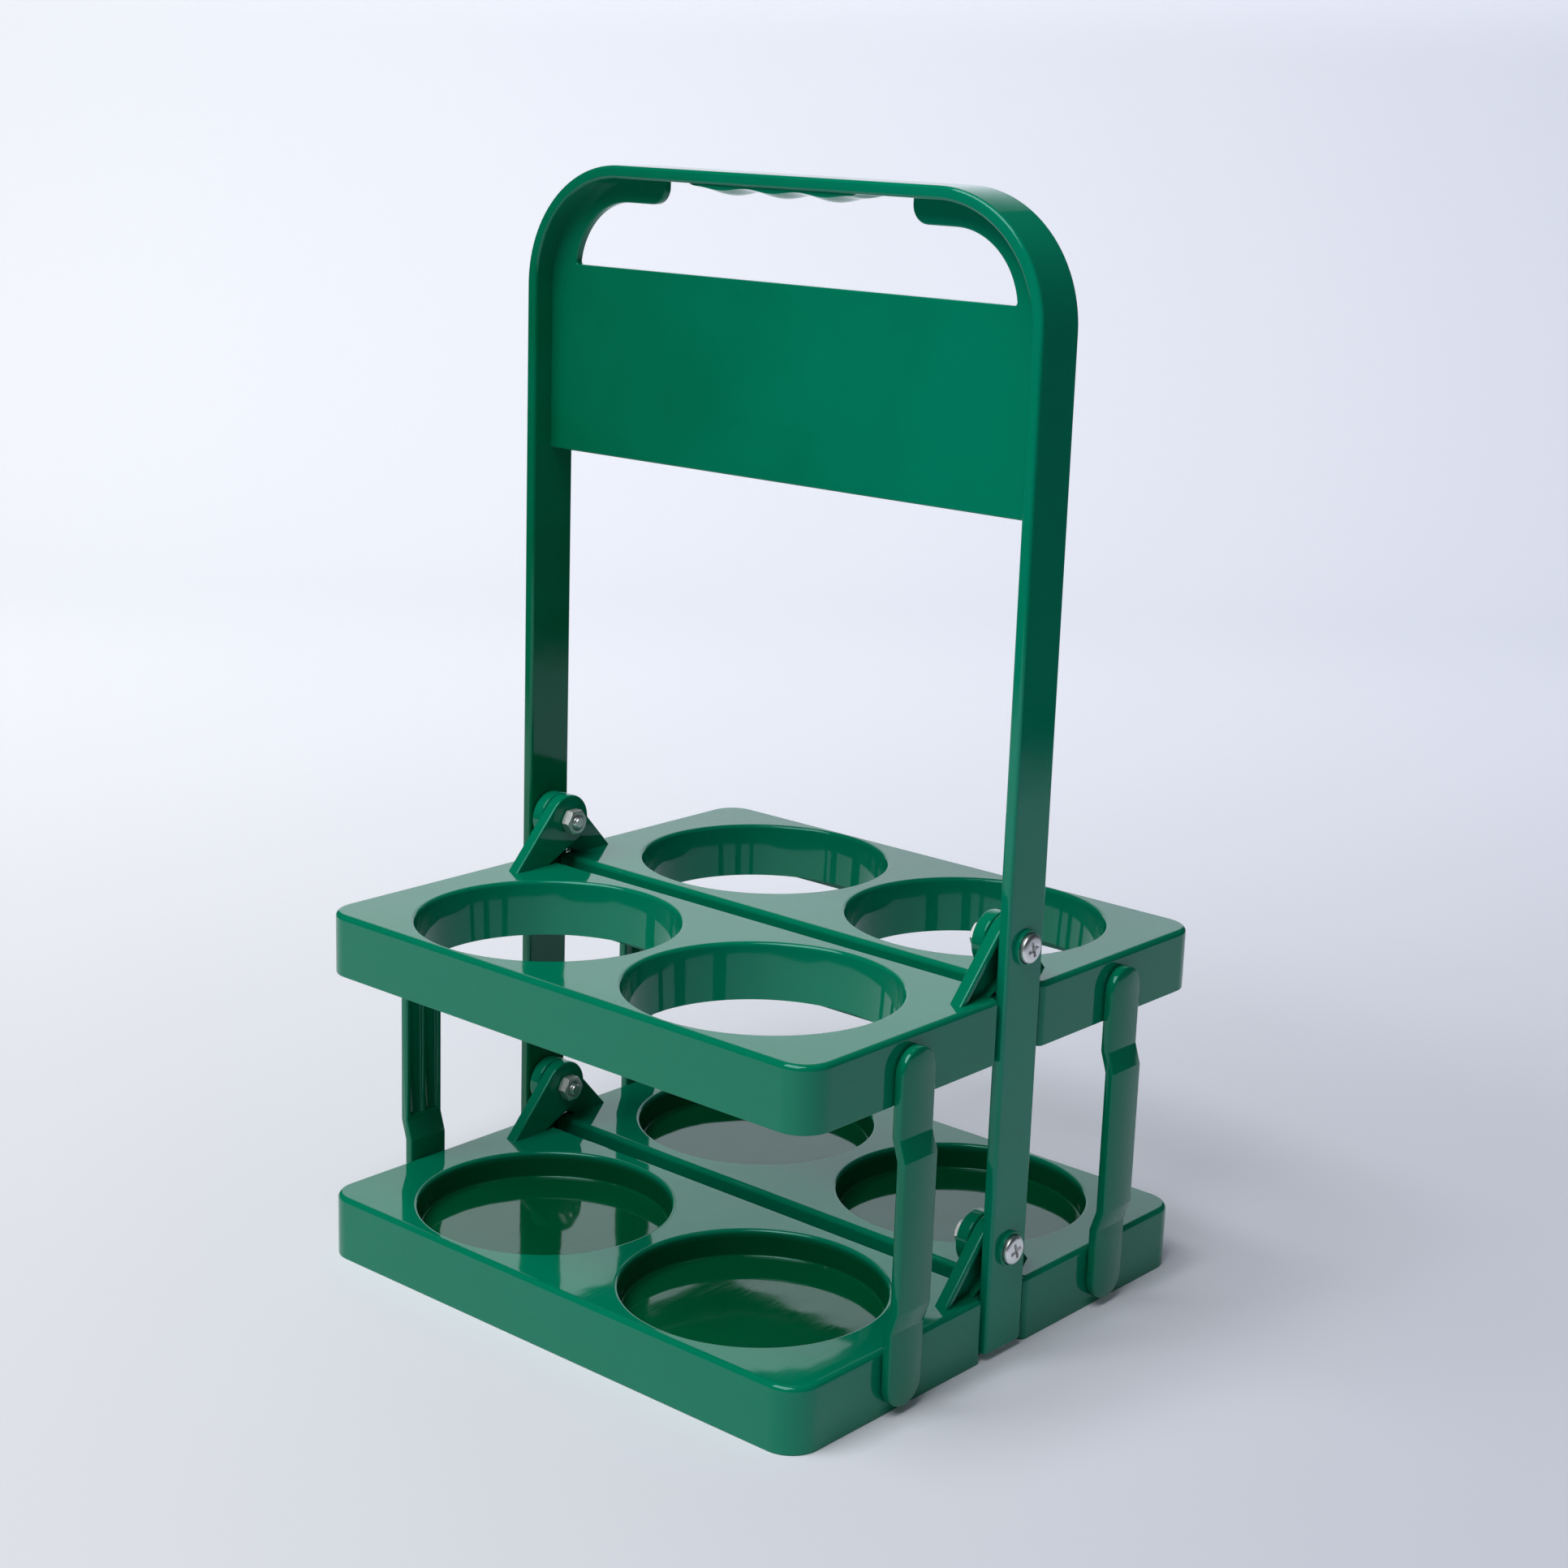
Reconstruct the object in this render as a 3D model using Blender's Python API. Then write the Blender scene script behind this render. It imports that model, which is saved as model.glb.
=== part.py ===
# Foldable drink carrier for four cups or bottles: a moulded handle frame,
# four half trays hinged on its uprights, and the straps that tie them together.
# Metres, +Z up, X across the handle, Y from front to back.
import math

import bmesh
import bpy
from mathutils import Matrix

# Pockets that hold the cups.
RING_RADIUS = 0.038
CUP_RIM_RADIUS = 0.03725
CUP_DEPTH = 0.0080
CUP_TAPER = 0.0003
POCKET_WALL = 0.0022
POCKET_SPACING = 0.0010
POCKET_EDGE_LAND = 0.0003
RIM_FILLET = 0.0007
RING_DEPTH = 0.0168
CUP_FLOOR = 0.0013

# Half trays.
TRAY_WALL = 0.0022
INNER_WALL = 0.0032
INNER_LAND = 0.0017
TRAY_TOP = 0.0025
TRAY_FILLET = 0.0016
TRAY_CORNER = 0.009
TRAY_SIDE_LAND = 0.0124
UPPER_HEIGHT = 0.0183
LOWER_HEIGHT = 0.0189
STOP_OVERLAP = 0.0044
CLOSE_STOP_GAP = 0.0007
WIDE_STOP_GAP = 0.0020
STOP_CORNER = 0.0020

# Hinge ears on the half trays.
PIVOT_RISE = 0.0126
PIVOT_SPACING = 0.0861
EAR_WIDTH = 0.0041
EAR_WEB = 0.0016
EAR_RIM = 0.0016
EAR_BOSS_RADIUS = 0.0078
EAR_FOOT_REACH = 0.0219
EAR_ROOT_LAND = 0.0031
EAR_EMBED_SHARE = 0.8
NOTCH_GAP_SHARE = 0.25
HUB_RADIUS = 0.0040

# Handle frame.
FRAME_TOP = 0.3133
FRAME_FOOT_LIFT = 0.0023
FRAME_PROUD = 0.0009
BAND_THICKNESS = 0.0036
BAND_DEPTH = 0.016
BAND_EDGE = 0.0009
FRAME_CORNER = 0.035
PANEL_HEIGHT = 0.0540
PANEL_THICKNESS = 0.0025
SLOT_HEIGHT = 0.0288
SLOT_CORNER = 0.0022
CRESCENT_WIDTH = 0.0104
CRESCENT_FOOT = 0.0131
CRESCENT_BEND = 0.0207
HOOK_LENGTH = 0.0131
HOOK_CORNER = 0.0050
COLLAR_WALL = 0.0006
COLLAR_HEIGHT = 0.0011

# Finger waves under the grip.
FINGER_PITCH = 0.0183
FINGER_COUNT = 3
FINGER_BASE = 0.0008
FINGER_WAVE = 0.0008
FINGER_FADE = 0.0035
FINGER_CROWN_SHARE = 0.9
FINGER_EDGE_LAND = 0.0010
FINGER_EMBED = 0.0002

# Tie straps.
STRAP_WIDTH = 0.0136
STRAP_THICKNESS = 0.0029
STRAP_BOW = 0.0019
STRAP_LOW_JOG = 0.0155
STRAP_HIGH_JOG = 0.0168
STRAP_JOG_RUN = 0.0060
STRAP_CHANNEL_DEPTH = 0.0012
STRAP_CHANNEL_WALL = 0.0016
STRAP_RIB = 0.0014
PEG_DROP = 0.0225
PEG_RADIUS = 0.0025
PEG_HEAD_RADIUS = 0.0033
PEG_HEAD_LENGTH = 0.0020
PEG_LIP = 0.0005
PEG_SLIT = 0.0008

# M4 fasteners.
SCREW_RADIUS = 0.0020
SCREW_HEAD_RADIUS = 0.0041
SCREW_HEAD_HEIGHT = 0.0024
SCREW_HEAD_RIM = 0.0011
SCREW_DOME_RISE = 0.0012
SCREW_TIP_PROUD = 0.0010
SCREW_TIP_CHAMFER = 0.0004
RECESS_LENGTH = 0.0042
RECESS_WIDTH = 0.0010
RECESS_DEPTH = 0.0014
NUT_ACROSS_FLATS = 0.0070
NUT_THICKNESS = 0.0032
NUT_CHAMFER = 0.0004

# Fits between pieces.
RUNNING_GAP = 0.0003
EAR_SIDE_GAP = 0.0004
OVERRUN = 0.0020
WELD_GAP = 0.000003

# Smoothness of round stretches.
POCKET_STEPS = 40
BAND_STEPS = 12
SMALL_STEPS = 16
EAR_STEPS = 12
CROWN_STEPS = 24
COLLAR_STEPS = 24
RIM_STEPS = 2
CORNER_STEPS = 5
FILLET_STEPS = 3
SHARP_ANGLE = math.radians(35)
CORNER_LIMIT_SHARE = 0.8

# Places worked out from the sizes above.
pocket_x = RING_RADIUS + POCKET_WALL + POCKET_SPACING / 2
inner_edge = BAND_DEPTH / 2 - STOP_OVERLAP
pocket_y = inner_edge + INNER_WALL + INNER_LAND + RING_RADIUS
outer_edge = pocket_y + RING_RADIUS + POCKET_EDGE_LAND + TRAY_WALL
half_width = pocket_x + RING_RADIUS + TRAY_SIDE_LAND
frame_out = half_width + FRAME_PROUD
frame_in = frame_out - BAND_THICKNESS
lower_pivot = LOWER_HEIGHT + PIVOT_RISE
upper_pivot = lower_pivot + PIVOT_SPACING
outer_ear = frame_in - EAR_SIDE_GAP
inner_ear = outer_ear - EAR_WIDTH - RUNNING_GAP
nut_seat = inner_ear - EAR_WIDTH - RUNNING_GAP
bore_radius = SCREW_RADIUS + RUNNING_GAP


def clear_scene():
    for old in list(bpy.data.objects):
        bpy.data.objects.remove(old, do_unlink=True)


def plastic(name, colour, roughness):
    material = bpy.data.materials.new(name)
    material.use_nodes = True
    shader = material.node_tree.nodes["Principled BSDF"]
    shader.inputs["Base Color"].default_value = colour
    shader.inputs["Roughness"].default_value = roughness
    shader.inputs["Metallic"].default_value = 0
    return material


def frame_plastic():
    return plastic("frame_plastic", (0.0, 0.16, 0.075, 1), 0.18)


def tray_plastic():
    return plastic("tray_plastic", (0.005, 0.17, 0.08, 1), 0.18)


def strap_plastic():
    return plastic("strap_plastic", (0.004, 0.15, 0.07, 1), 0.22)


def zinc_steel(name):
    material = plastic(name, (0.72, 0.73, 0.74, 1), 0.25)
    material.node_tree.nodes["Principled BSDF"].inputs["Metallic"].default_value = 1
    return material


def arc(centre_u, centre_v, radius, start, end, steps):
    """Points along an arc, both ends included."""
    points = []
    for step in range(steps + 1):
        angle = start + (end - start) * step / steps
        points.append((centre_u + radius * math.cos(angle), centre_v + radius * math.sin(angle)))
    return points


def rounded_outline(corners, steps):
    """Outline whose corners, given as (u, v, radius), are turned into arcs."""
    points = []
    for index, (u, v, radius) in enumerate(corners):
        before = corners[index - 1]
        after = corners[(index + 1) % len(corners)]
        if radius == 0:
            points.append((u, v))
            continue
        in_u, in_v = before[0] - u, before[1] - v
        out_u, out_v = after[0] - u, after[1] - v
        in_length = math.hypot(in_u, in_v)
        out_length = math.hypot(out_u, out_v)
        in_u, in_v = in_u / in_length, in_v / in_length
        out_u, out_v = out_u / out_length, out_v / out_length
        half_angle = math.acos(max(-1, min(1, in_u * out_u + in_v * out_v))) / 2
        radius = min(radius, math.tan(half_angle) * min(in_length, out_length) * CORNER_LIMIT_SHARE)
        middle_u, middle_v = in_u + out_u, in_v + out_v
        middle = math.hypot(middle_u, middle_v)
        reach = radius / math.sin(half_angle)
        centre_u = u + middle_u / middle * reach
        centre_v = v + middle_v / middle * reach
        tangent = radius / math.tan(half_angle)
        start = math.atan2(v + in_v * tangent - centre_v, u + in_u * tangent - centre_u)
        end = math.atan2(v + out_v * tangent - centre_v, u + out_u * tangent - centre_u)
        turn = (end - start + math.pi) % (2 * math.pi) - math.pi
        points += arc(centre_u, centre_v, radius, start, start + turn, steps)
    return points


def circle(centre_u, centre_v, radius, steps):
    return arc(centre_u, centre_v, radius, 0, 2 * math.pi, steps)[:-1]


def new_object(name, shape):
    bmesh.ops.recalc_face_normals(shape, faces=shape.faces)
    mesh = bpy.data.meshes.new(name)
    shape.to_mesh(mesh)
    shape.free()
    piece = bpy.data.objects.new(name, mesh)
    bpy.context.collection.objects.link(piece)
    return piece


def prism(outline, axis, low, high):
    """Solid between low and high along an axis, X, Y or Z, over a flat outline."""
    shape = bmesh.new()
    for u, v in outline:
        place = {"X": (low, u, v), "Y": (u, low, v), "Z": (u, v, low)}[axis]
        shape.verts.new(place)
    face = shape.faces.new(shape.verts)
    pushed = bmesh.ops.extrude_face_region(shape, geom=[face])
    moved = [item for item in pushed["geom"] if isinstance(item, bmesh.types.BMVert)]
    rise = high - low
    push = {"X": (rise, 0, 0), "Y": (0, rise, 0), "Z": (0, 0, rise)}[axis]
    bmesh.ops.translate(shape, verts=moved, vec=push)
    return shape


def prism_object(name, outline, axis, low, high):
    return new_object(name, prism(outline, axis, low, high))


def turned(name, profile, axis, steps):
    """Solid of revolution about an axis from (radius, height) points, ends on the axis."""
    shape = bmesh.new()
    ring = [shape.verts.new((radius, 0, height)) for radius, height in profile]
    edges = [shape.edges.new(pair) for pair in zip(ring, ring[1:])]
    bmesh.ops.spin(
        shape, geom=ring + edges, cent=(0, 0, 0), axis=(0, 0, 1),
        angle=2 * math.pi, steps=steps, use_merge=True,
    )
    bmesh.ops.remove_doubles(shape, verts=shape.verts, dist=WELD_GAP)
    if axis == "X":
        bmesh.ops.rotate(shape, verts=shape.verts, matrix=Matrix.Rotation(math.pi / 2, 3, "Y"))
    return new_object(name, shape)


def combine(target, tool, operation):
    """Boolean of a tool object into the target; the tool is used up."""
    step = target.modifiers.new("combine", "BOOLEAN")
    step.operation = operation
    step.solver = "EXACT"
    step.object = tool
    bpy.context.view_layer.update()
    view = bpy.context.evaluated_depsgraph_get()
    result = bpy.data.meshes.new_from_object(target.evaluated_get(view))
    target.modifiers.remove(step)
    target.data = result
    bpy.data.objects.remove(tool, do_unlink=True)


def cut(target, tool):
    combine(target, tool, "DIFFERENCE")


def add(target, tool):
    combine(target, tool, "UNION")


def finish(piece, name, material):
    piece.name = name
    piece.data.name = name
    piece.data.materials.clear()
    piece.data.materials.append(material)
    piece.data.shade_smooth()
    piece.data.set_sharp_from_angle(angle=SHARP_ANGLE)


def copy_of(piece, name):
    """Another object on the same mesh."""
    twin = bpy.data.objects.new(name, piece.data)
    bpy.context.collection.objects.link(twin)
    return twin


def tray_outline(inset, near):
    """Plan of a half tray from its near edge: Y grows outwards from the carrier's middle plane."""
    side = half_width - inset
    notch = outer_ear + EAR_SIDE_GAP * NOTCH_GAP_SHARE - inset
    close_stop = BAND_DEPTH / 2 + CLOSE_STOP_GAP + inset
    wide_stop = BAND_DEPTH / 2 + WIDE_STOP_GAP + inset
    far = outer_edge - inset
    corner = TRAY_CORNER - inset
    stop = STOP_CORNER if inset == 0 else 0
    return rounded_outline([
        (side, far, corner),
        (-side, far, corner),
        (-side, close_stop, stop),
        (-notch, close_stop, 0),
        (-notch, near, stop),
        (notch, near, stop),
        (notch, wide_stop, 0),
        (side, wide_stop, stop),
    ], CORNER_STEPS)


def tray_block(bottom, top):
    """Solid half tray with a rounded top edge."""
    shape = prism(tray_outline(0, inner_edge), "Z", bottom, top)
    middle = (top + bottom) / 2
    top_edges = [edge for edge in shape.edges if all(vert.co.z > middle for vert in edge.verts)]
    bmesh.ops.bevel(
        shape, geom=top_edges, offset=TRAY_FILLET, offset_type="OFFSET", affect="EDGES",
        segments=FILLET_STEPS, profile=0.5, clamp_overlap=False, material=-1,
    )
    return new_object("tray_block", shape)


def pocket_tool(rim_radius, low_radius, low, top):
    """Cutter for one pocket; its flare rounds the rim and runs on past the tray's top."""
    profile = [(0, low), (low_radius, low)]
    flare = arc(rim_radius + RIM_FILLET, top - RIM_FILLET, RIM_FILLET, math.pi, math.pi / 2, RIM_STEPS)
    before, last = flare[-2:]
    flare[-1] = (2 * last[0] - before[0], 2 * last[1] - before[1])
    profile += flare
    profile += [(flare[-1][0], top + OVERRUN), (0, top + OVERRUN)]
    return turned("pocket", profile, "Z", POCKET_STEPS)


def hollow_tool(bottom, top, wall_radius, wall_bottom):
    """Cutter for the open underside, which leaves the walls of the two pockets."""
    outline = tray_outline(TRAY_WALL, inner_edge + INNER_WALL)
    tool = prism_object("hollow", outline, "Z", bottom - OVERRUN, top - TRAY_TOP)
    for side in (-1, 1):
        wall = circle(side * pocket_x, pocket_y, wall_radius, POCKET_STEPS)
        cut(tool, prism_object("wall", wall, "Z", wall_bottom, top))
    return tool


def ear_outline(inset, floor):
    """Side view of an ear: Y outwards, Z up, with the pivot at zero."""
    boss = EAR_BOSS_RADIUS - inset
    foot = EAR_FOOT_REACH - inset / math.sin(ear_slope())
    root = inner_edge + TRAY_FILLET + EAR_ROOT_LAND + inset
    slope_start = math.pi / 2 - ear_slope()
    root_length = math.hypot(root, PIVOT_RISE)
    root_angle = math.atan2(-PIVOT_RISE, root)
    root_start = root_angle - math.acos(min(1, boss / root_length)) + 2 * math.pi
    points = [(foot, -PIVOT_RISE)]
    points += arc(0, 0, boss, slope_start, root_start, EAR_STEPS)
    points += [(root, -PIVOT_RISE), (root, floor), (foot, floor)]
    return points


def ear_slope():
    """Angle below level of the ear's sloping edge, tangent to its boss."""
    reach = math.hypot(EAR_FOOT_REACH, PIVOT_RISE)
    return math.atan2(PIVOT_RISE, EAR_FOOT_REACH) + math.asin(EAR_BOSS_RADIUS / reach)


def ear(side, outer_face):
    """Hinge ear: a web with a rim along its slope and boss, open towards the outside."""
    web_face = outer_face - EAR_WIDTH
    low, high = sorted((side * outer_face, side * web_face))
    floor = -PIVOT_RISE - TRAY_TOP * EAR_EMBED_SHARE
    piece = prism_object("ear", ear_outline(0, floor), "X", low, high)
    recess_low, recess_high = sorted((side * (web_face + EAR_WEB), side * (outer_face + OVERRUN)))
    recess_floor = (floor - PIVOT_RISE) / 2
    recess = prism_object("recess", ear_outline(EAR_RIM, recess_floor), "X", recess_low, recess_high)
    hub_low, hub_high = sorted((side * web_face, side * (outer_face + OVERRUN * 2)))
    cut(recess, prism_object("hub", circle(0, 0, HUB_RADIUS, SMALL_STEPS), "X", hub_low, hub_high))
    cut(piece, recess)
    return piece


def half_tray(name, height, rim_radius, taper, has_floor, material):
    """One half tray with its two pockets and two ears, pivot axis at the origin."""
    top = -PIVOT_RISE
    bottom = top - height
    tray = tray_block(bottom, top)
    wall_radius = rim_radius + POCKET_WALL
    if has_floor:
        pocket_low = top - CUP_DEPTH
        wall_bottom = pocket_low - CUP_FLOOR
    else:
        wall_bottom = top - RING_DEPTH
        pocket_low = bottom - OVERRUN
    cut(tray, hollow_tool(bottom, top, wall_radius, wall_bottom))
    add(tray, ear(1, inner_ear))
    add(tray, ear(-1, outer_ear))
    for side in (-1, 1):
        pocket = pocket_tool(rim_radius, rim_radius - taper, pocket_low, top)
        pocket.data.transform(Matrix.Translation((side * pocket_x, pocket_y, 0)))
        cut(tray, pocket)
        skirt_face = half_width - TRAY_WALL
        skirt_low, skirt_high = sorted((side * (skirt_face - OVERRUN), side * (half_width + OVERRUN)))
        peg_hole = circle(pocket_y, -PEG_DROP, PEG_RADIUS + RUNNING_GAP, SMALL_STEPS)
        cut(tray, prism_object("peg_hole", peg_hole, "X", skirt_low, skirt_high))
        bore_low, bore_high = sorted((side * (nut_seat - OVERRUN), side * (outer_ear + OVERRUN)))
        bore = circle(0, 0, bore_radius, SMALL_STEPS)
        cut(tray, prism_object("bore", bore, "X", bore_low, bore_high))
    finish(tray, name, material)
    return tray


def band_outline(inset, foot):
    """Front view of the frame's outer line, set in by the given amount."""
    side = frame_out - inset
    high = FRAME_TOP - inset
    radius = FRAME_CORNER - inset
    centre_u = frame_out - FRAME_CORNER
    centre_v = FRAME_TOP - FRAME_CORNER
    points = [(side, foot)]
    points += arc(centre_u, centre_v, radius, 0, math.pi / 2, BAND_STEPS)
    points += arc(-centre_u, centre_v, radius, math.pi / 2, math.pi, BAND_STEPS)
    points += [(-side, foot)]
    return points


def band():
    """Bent band of the frame: two uprights and the grip in one sweep."""
    outer = band_outline(0, FRAME_FOOT_LIFT)
    inner = band_outline(BAND_THICKNESS, FRAME_FOOT_LIFT)
    shape = prism(outer + inner[::-1], "Y", -BAND_DEPTH / 2, BAND_DEPTH / 2)
    long_edges = []
    for edge in shape.edges:
        first, second = edge.verts
        if abs(first.co.y - second.co.y) < BAND_DEPTH / 2:
            long_edges.append(edge)
    bmesh.ops.bevel(
        shape, geom=long_edges, offset=BAND_EDGE, offset_type="OFFSET", affect="EDGES",
        segments=2, profile=0.5, clamp_overlap=False, material=-1,
    )
    return new_object("band", shape)


def panel_half_outline():
    """Right half of the panel with its crescent web, from the middle of its foot."""
    half_band = BAND_THICKNESS / 2
    centre_u = frame_out - FRAME_CORNER
    centre_v = FRAME_TOP - FRAME_CORNER
    bend_u = frame_out - CRESCENT_FOOT - CRESCENT_BEND
    bend_v = FRAME_TOP - CRESCENT_WIDTH - CRESCENT_BEND
    slot_floor = FRAME_TOP - SLOT_HEIGHT
    hook_end = centre_u - HOOK_LENGTH
    level = FRAME_TOP - CRESCENT_WIDTH
    rise_angle = math.asin(max(0, min(1, (slot_floor - bend_v) / CRESCENT_BEND)))
    outside = [(frame_out - half_band, slot_floor - PANEL_HEIGHT)]
    outside += arc(centre_u, centre_v, FRAME_CORNER - half_band, 0, math.pi / 2, BAND_STEPS)
    outside += [(hook_end, FRAME_TOP - half_band)]
    inside = [(hook_end, level, HOOK_CORNER)]
    bend = arc(bend_u, bend_v, CRESCENT_BEND, math.pi / 2, rise_angle, BAND_STEPS)
    inside += [(u, v, 0) for u, v in bend]
    inside[-1] = (inside[-1][0], slot_floor, SLOT_CORNER)
    return [(u, v, 0) for u, v in outside] + inside


def panel():
    """Thin web in the middle of the band: sign panel, hand slot and two crescents."""
    right = panel_half_outline()
    left = [(-u, v, radius) for u, v, radius in reversed(right)]
    outline = rounded_outline(right + left, CORNER_STEPS)
    return prism_object("panel", outline, "Y", -PANEL_THICKNESS / 2, PANEL_THICKNESS / 2)


def finger_depth(x, y):
    """How far the finger waves hang below the grip at one place."""
    end = FINGER_PITCH * FINGER_COUNT / 2
    inside = max(0, min(1, (end + FINGER_FADE - abs(x)) / FINGER_FADE))
    wave = (1 + math.cos(2 * math.pi * x / FINGER_PITCH)) / 2 if abs(x) < end else 0
    across = y / (BAND_DEPTH / 2)
    crown = 1 + FINGER_CROWN_SHARE * (1 - across * across)
    return crown * (FINGER_BASE * inside + FINGER_WAVE * wave)


def finger_waves():
    """Crowned waves under the grip, rooted in the band."""
    half_length = FINGER_PITCH * FINGER_COUNT / 2 + FINGER_FADE
    half_across = BAND_DEPTH / 2 - FINGER_EDGE_LAND
    underside = FRAME_TOP - BAND_THICKNESS
    root = underside + BAND_THICKNESS / 2
    shape = bmesh.new()
    spread = Matrix.Diagonal((half_length, half_across, 1, 1))
    bmesh.ops.create_grid(shape, x_segments=BAND_STEPS * 2, y_segments=BAND_STEPS // 2, size=1, matrix=spread)
    for vert in shape.verts:
        vert.co.z = root
    pushed = bmesh.ops.extrude_face_region(shape, geom=list(shape.faces))
    for item in pushed["geom"]:
        if isinstance(item, bmesh.types.BMVert):
            item.co.z = underside + FINGER_EMBED - finger_depth(item.co.x, item.co.y)
    return new_object("finger_waves", shape)


def screw_collar(side, height):
    """Raised collar round a screw head on an upright's outer face."""
    root = frame_out - BAND_THICKNESS / 2
    crest = frame_out + COLLAR_HEIGHT
    inside = SCREW_HEAD_RADIUS + RUNNING_GAP
    low, high = sorted((side * root, side * crest))
    collar = prism_object("collar", circle(0, height, inside + COLLAR_WALL, COLLAR_STEPS), "X", low, high)
    low, high = sorted((side * frame_out, side * (crest + OVERRUN)))
    floor = circle(0, height, inside, COLLAR_STEPS)
    cut(collar, prism_object("collar_floor", floor, "X", low, high))
    return collar


def handle_frame(material):
    frame = band()
    add(frame, panel())
    add(frame, finger_waves())
    for side in (-1, 1):
        for height in (lower_pivot, upper_pivot):
            add(frame, screw_collar(side, height))
            low, high = sorted((side * (frame_in - OVERRUN), side * (frame_out + OVERRUN)))
            bore = circle(0, height, bore_radius, SMALL_STEPS)
            cut(frame, prism_object("bore", bore, "X", low, high))
    finish(frame, "handle_frame", material)
    return frame


def strap_side_outline():
    """Edge view of a strap: X outwards from its inner face, Z up from its lower peg."""
    reach = STRAP_WIDTH / 2
    low = STRAP_LOW_JOG
    high = PIVOT_SPACING - STRAP_HIGH_JOG
    inner = [
        (0, -reach), (0, low), (STRAP_BOW, low + STRAP_JOG_RUN),
        (STRAP_BOW, high - STRAP_JOG_RUN), (0, high), (0, PIVOT_SPACING + reach),
    ]
    outer = [(u + STRAP_THICKNESS, v) for u, v in reversed(inner)]
    return inner + outer


def strap(name, material):
    """Tie strap with rounded ends, a jogged middle and two snap pegs, lower peg at the origin."""
    reach = STRAP_WIDTH / 2
    piece = prism_object("strap", strap_side_outline(), "Y", -reach, reach)
    outline = arc(0, 0, reach, math.pi, 2 * math.pi, BAND_STEPS)
    outline += arc(0, PIVOT_SPACING, reach, 0, math.pi, BAND_STEPS)
    stadium = prism_object("stadium", outline, "X", -OVERRUN, STRAP_BOW + STRAP_THICKNESS + OVERRUN)
    combine(piece, stadium, "INTERSECT")
    low = STRAP_LOW_JOG + STRAP_JOG_RUN + STRAP_CHANNEL_WALL
    high = PIVOT_SPACING - STRAP_HIGH_JOG - STRAP_JOG_RUN - STRAP_CHANNEL_WALL
    channel = reach - STRAP_CHANNEL_WALL
    for side in (-1, 1):
        near, far = sorted((side * STRAP_RIB / 2, side * channel))
        slot = rounded_outline([(near, low, 0), (far, low, 0), (far, high, 0), (near, high, 0)], 1)
        cut(piece, prism_object("channel", slot, "X", STRAP_BOW - OVERRUN, STRAP_BOW + STRAP_CHANNEL_DEPTH))
    for height in (0, PIVOT_SPACING):
        peg = snap_peg()
        peg.data.transform(Matrix.Translation((0, 0, height)))
        add(piece, peg)
    piece.data.transform(Matrix.Translation((RUNNING_GAP, 0, 0)))
    finish(piece, name, material)
    return piece


def snap_peg():
    """Split peg on a strap's inner face, with a head that holds it in the skirt."""
    neck = RUNNING_GAP * 2 + TRAY_WALL
    profile = [
        (0, -STRAP_THICKNESS / 2), (PEG_RADIUS, -STRAP_THICKNESS / 2), (PEG_RADIUS, neck),
        (PEG_HEAD_RADIUS, neck), (PEG_HEAD_RADIUS, neck + PEG_LIP), (PEG_RADIUS, neck + PEG_HEAD_LENGTH),
        (0, neck + PEG_HEAD_LENGTH),
    ]
    peg = turned("peg", profile, "Z", SMALL_STEPS)
    peg.data.transform(Matrix.Rotation(-math.pi / 2, 4, "Y"))
    half = PEG_SLIT / 2
    slit = [(-PEG_HEAD_RADIUS * 2, -half), (PEG_HEAD_RADIUS * 2, -half), (PEG_HEAD_RADIUS * 2, half)]
    slit += [(-PEG_HEAD_RADIUS * 2, half)]
    cut(peg, prism_object("slit", slit, "X", -neck - PEG_HEAD_LENGTH - OVERRUN, -RUNNING_GAP))
    return peg


def screw(name, material):
    """Pan head cross recess screw along X, with the underside of its head at the origin."""
    length = frame_out + RUNNING_GAP - nut_seat + NUT_THICKNESS + SCREW_TIP_PROUD
    dome_radius = SCREW_HEAD_RADIUS - SCREW_HEAD_RIM
    profile = [(0, -length), (SCREW_RADIUS - SCREW_TIP_CHAMFER, -length)]
    profile += [(SCREW_RADIUS, SCREW_TIP_CHAMFER - length), (SCREW_RADIUS, 0), (SCREW_HEAD_RADIUS, 0)]
    rim = SCREW_HEAD_HEIGHT - SCREW_DOME_RISE
    for angle_step in range(FILLET_STEPS + 2):
        angle = math.pi / 2 * angle_step / (FILLET_STEPS + 1)
        out = dome_radius + SCREW_HEAD_RIM * math.cos(angle)
        profile.append((out, rim + SCREW_DOME_RISE * math.sin(angle)))
    profile.append((0, SCREW_HEAD_HEIGHT))
    piece = turned("screw", profile, "X", SMALL_STEPS)
    low = SCREW_HEAD_HEIGHT - RECESS_DEPTH
    high = SCREW_HEAD_HEIGHT + OVERRUN
    long, short = RECESS_LENGTH / 2, RECESS_WIDTH / 2
    cross = [
        (long, -short), (long, short), (short, short), (short, long),
        (-short, long), (-short, short), (-long, short), (-long, -short),
        (-short, -short), (-short, -long), (short, -long), (short, -short),
    ]
    cut(piece, prism_object("recess", cross, "X", low, high))
    finish(piece, name, material)
    return piece


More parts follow.
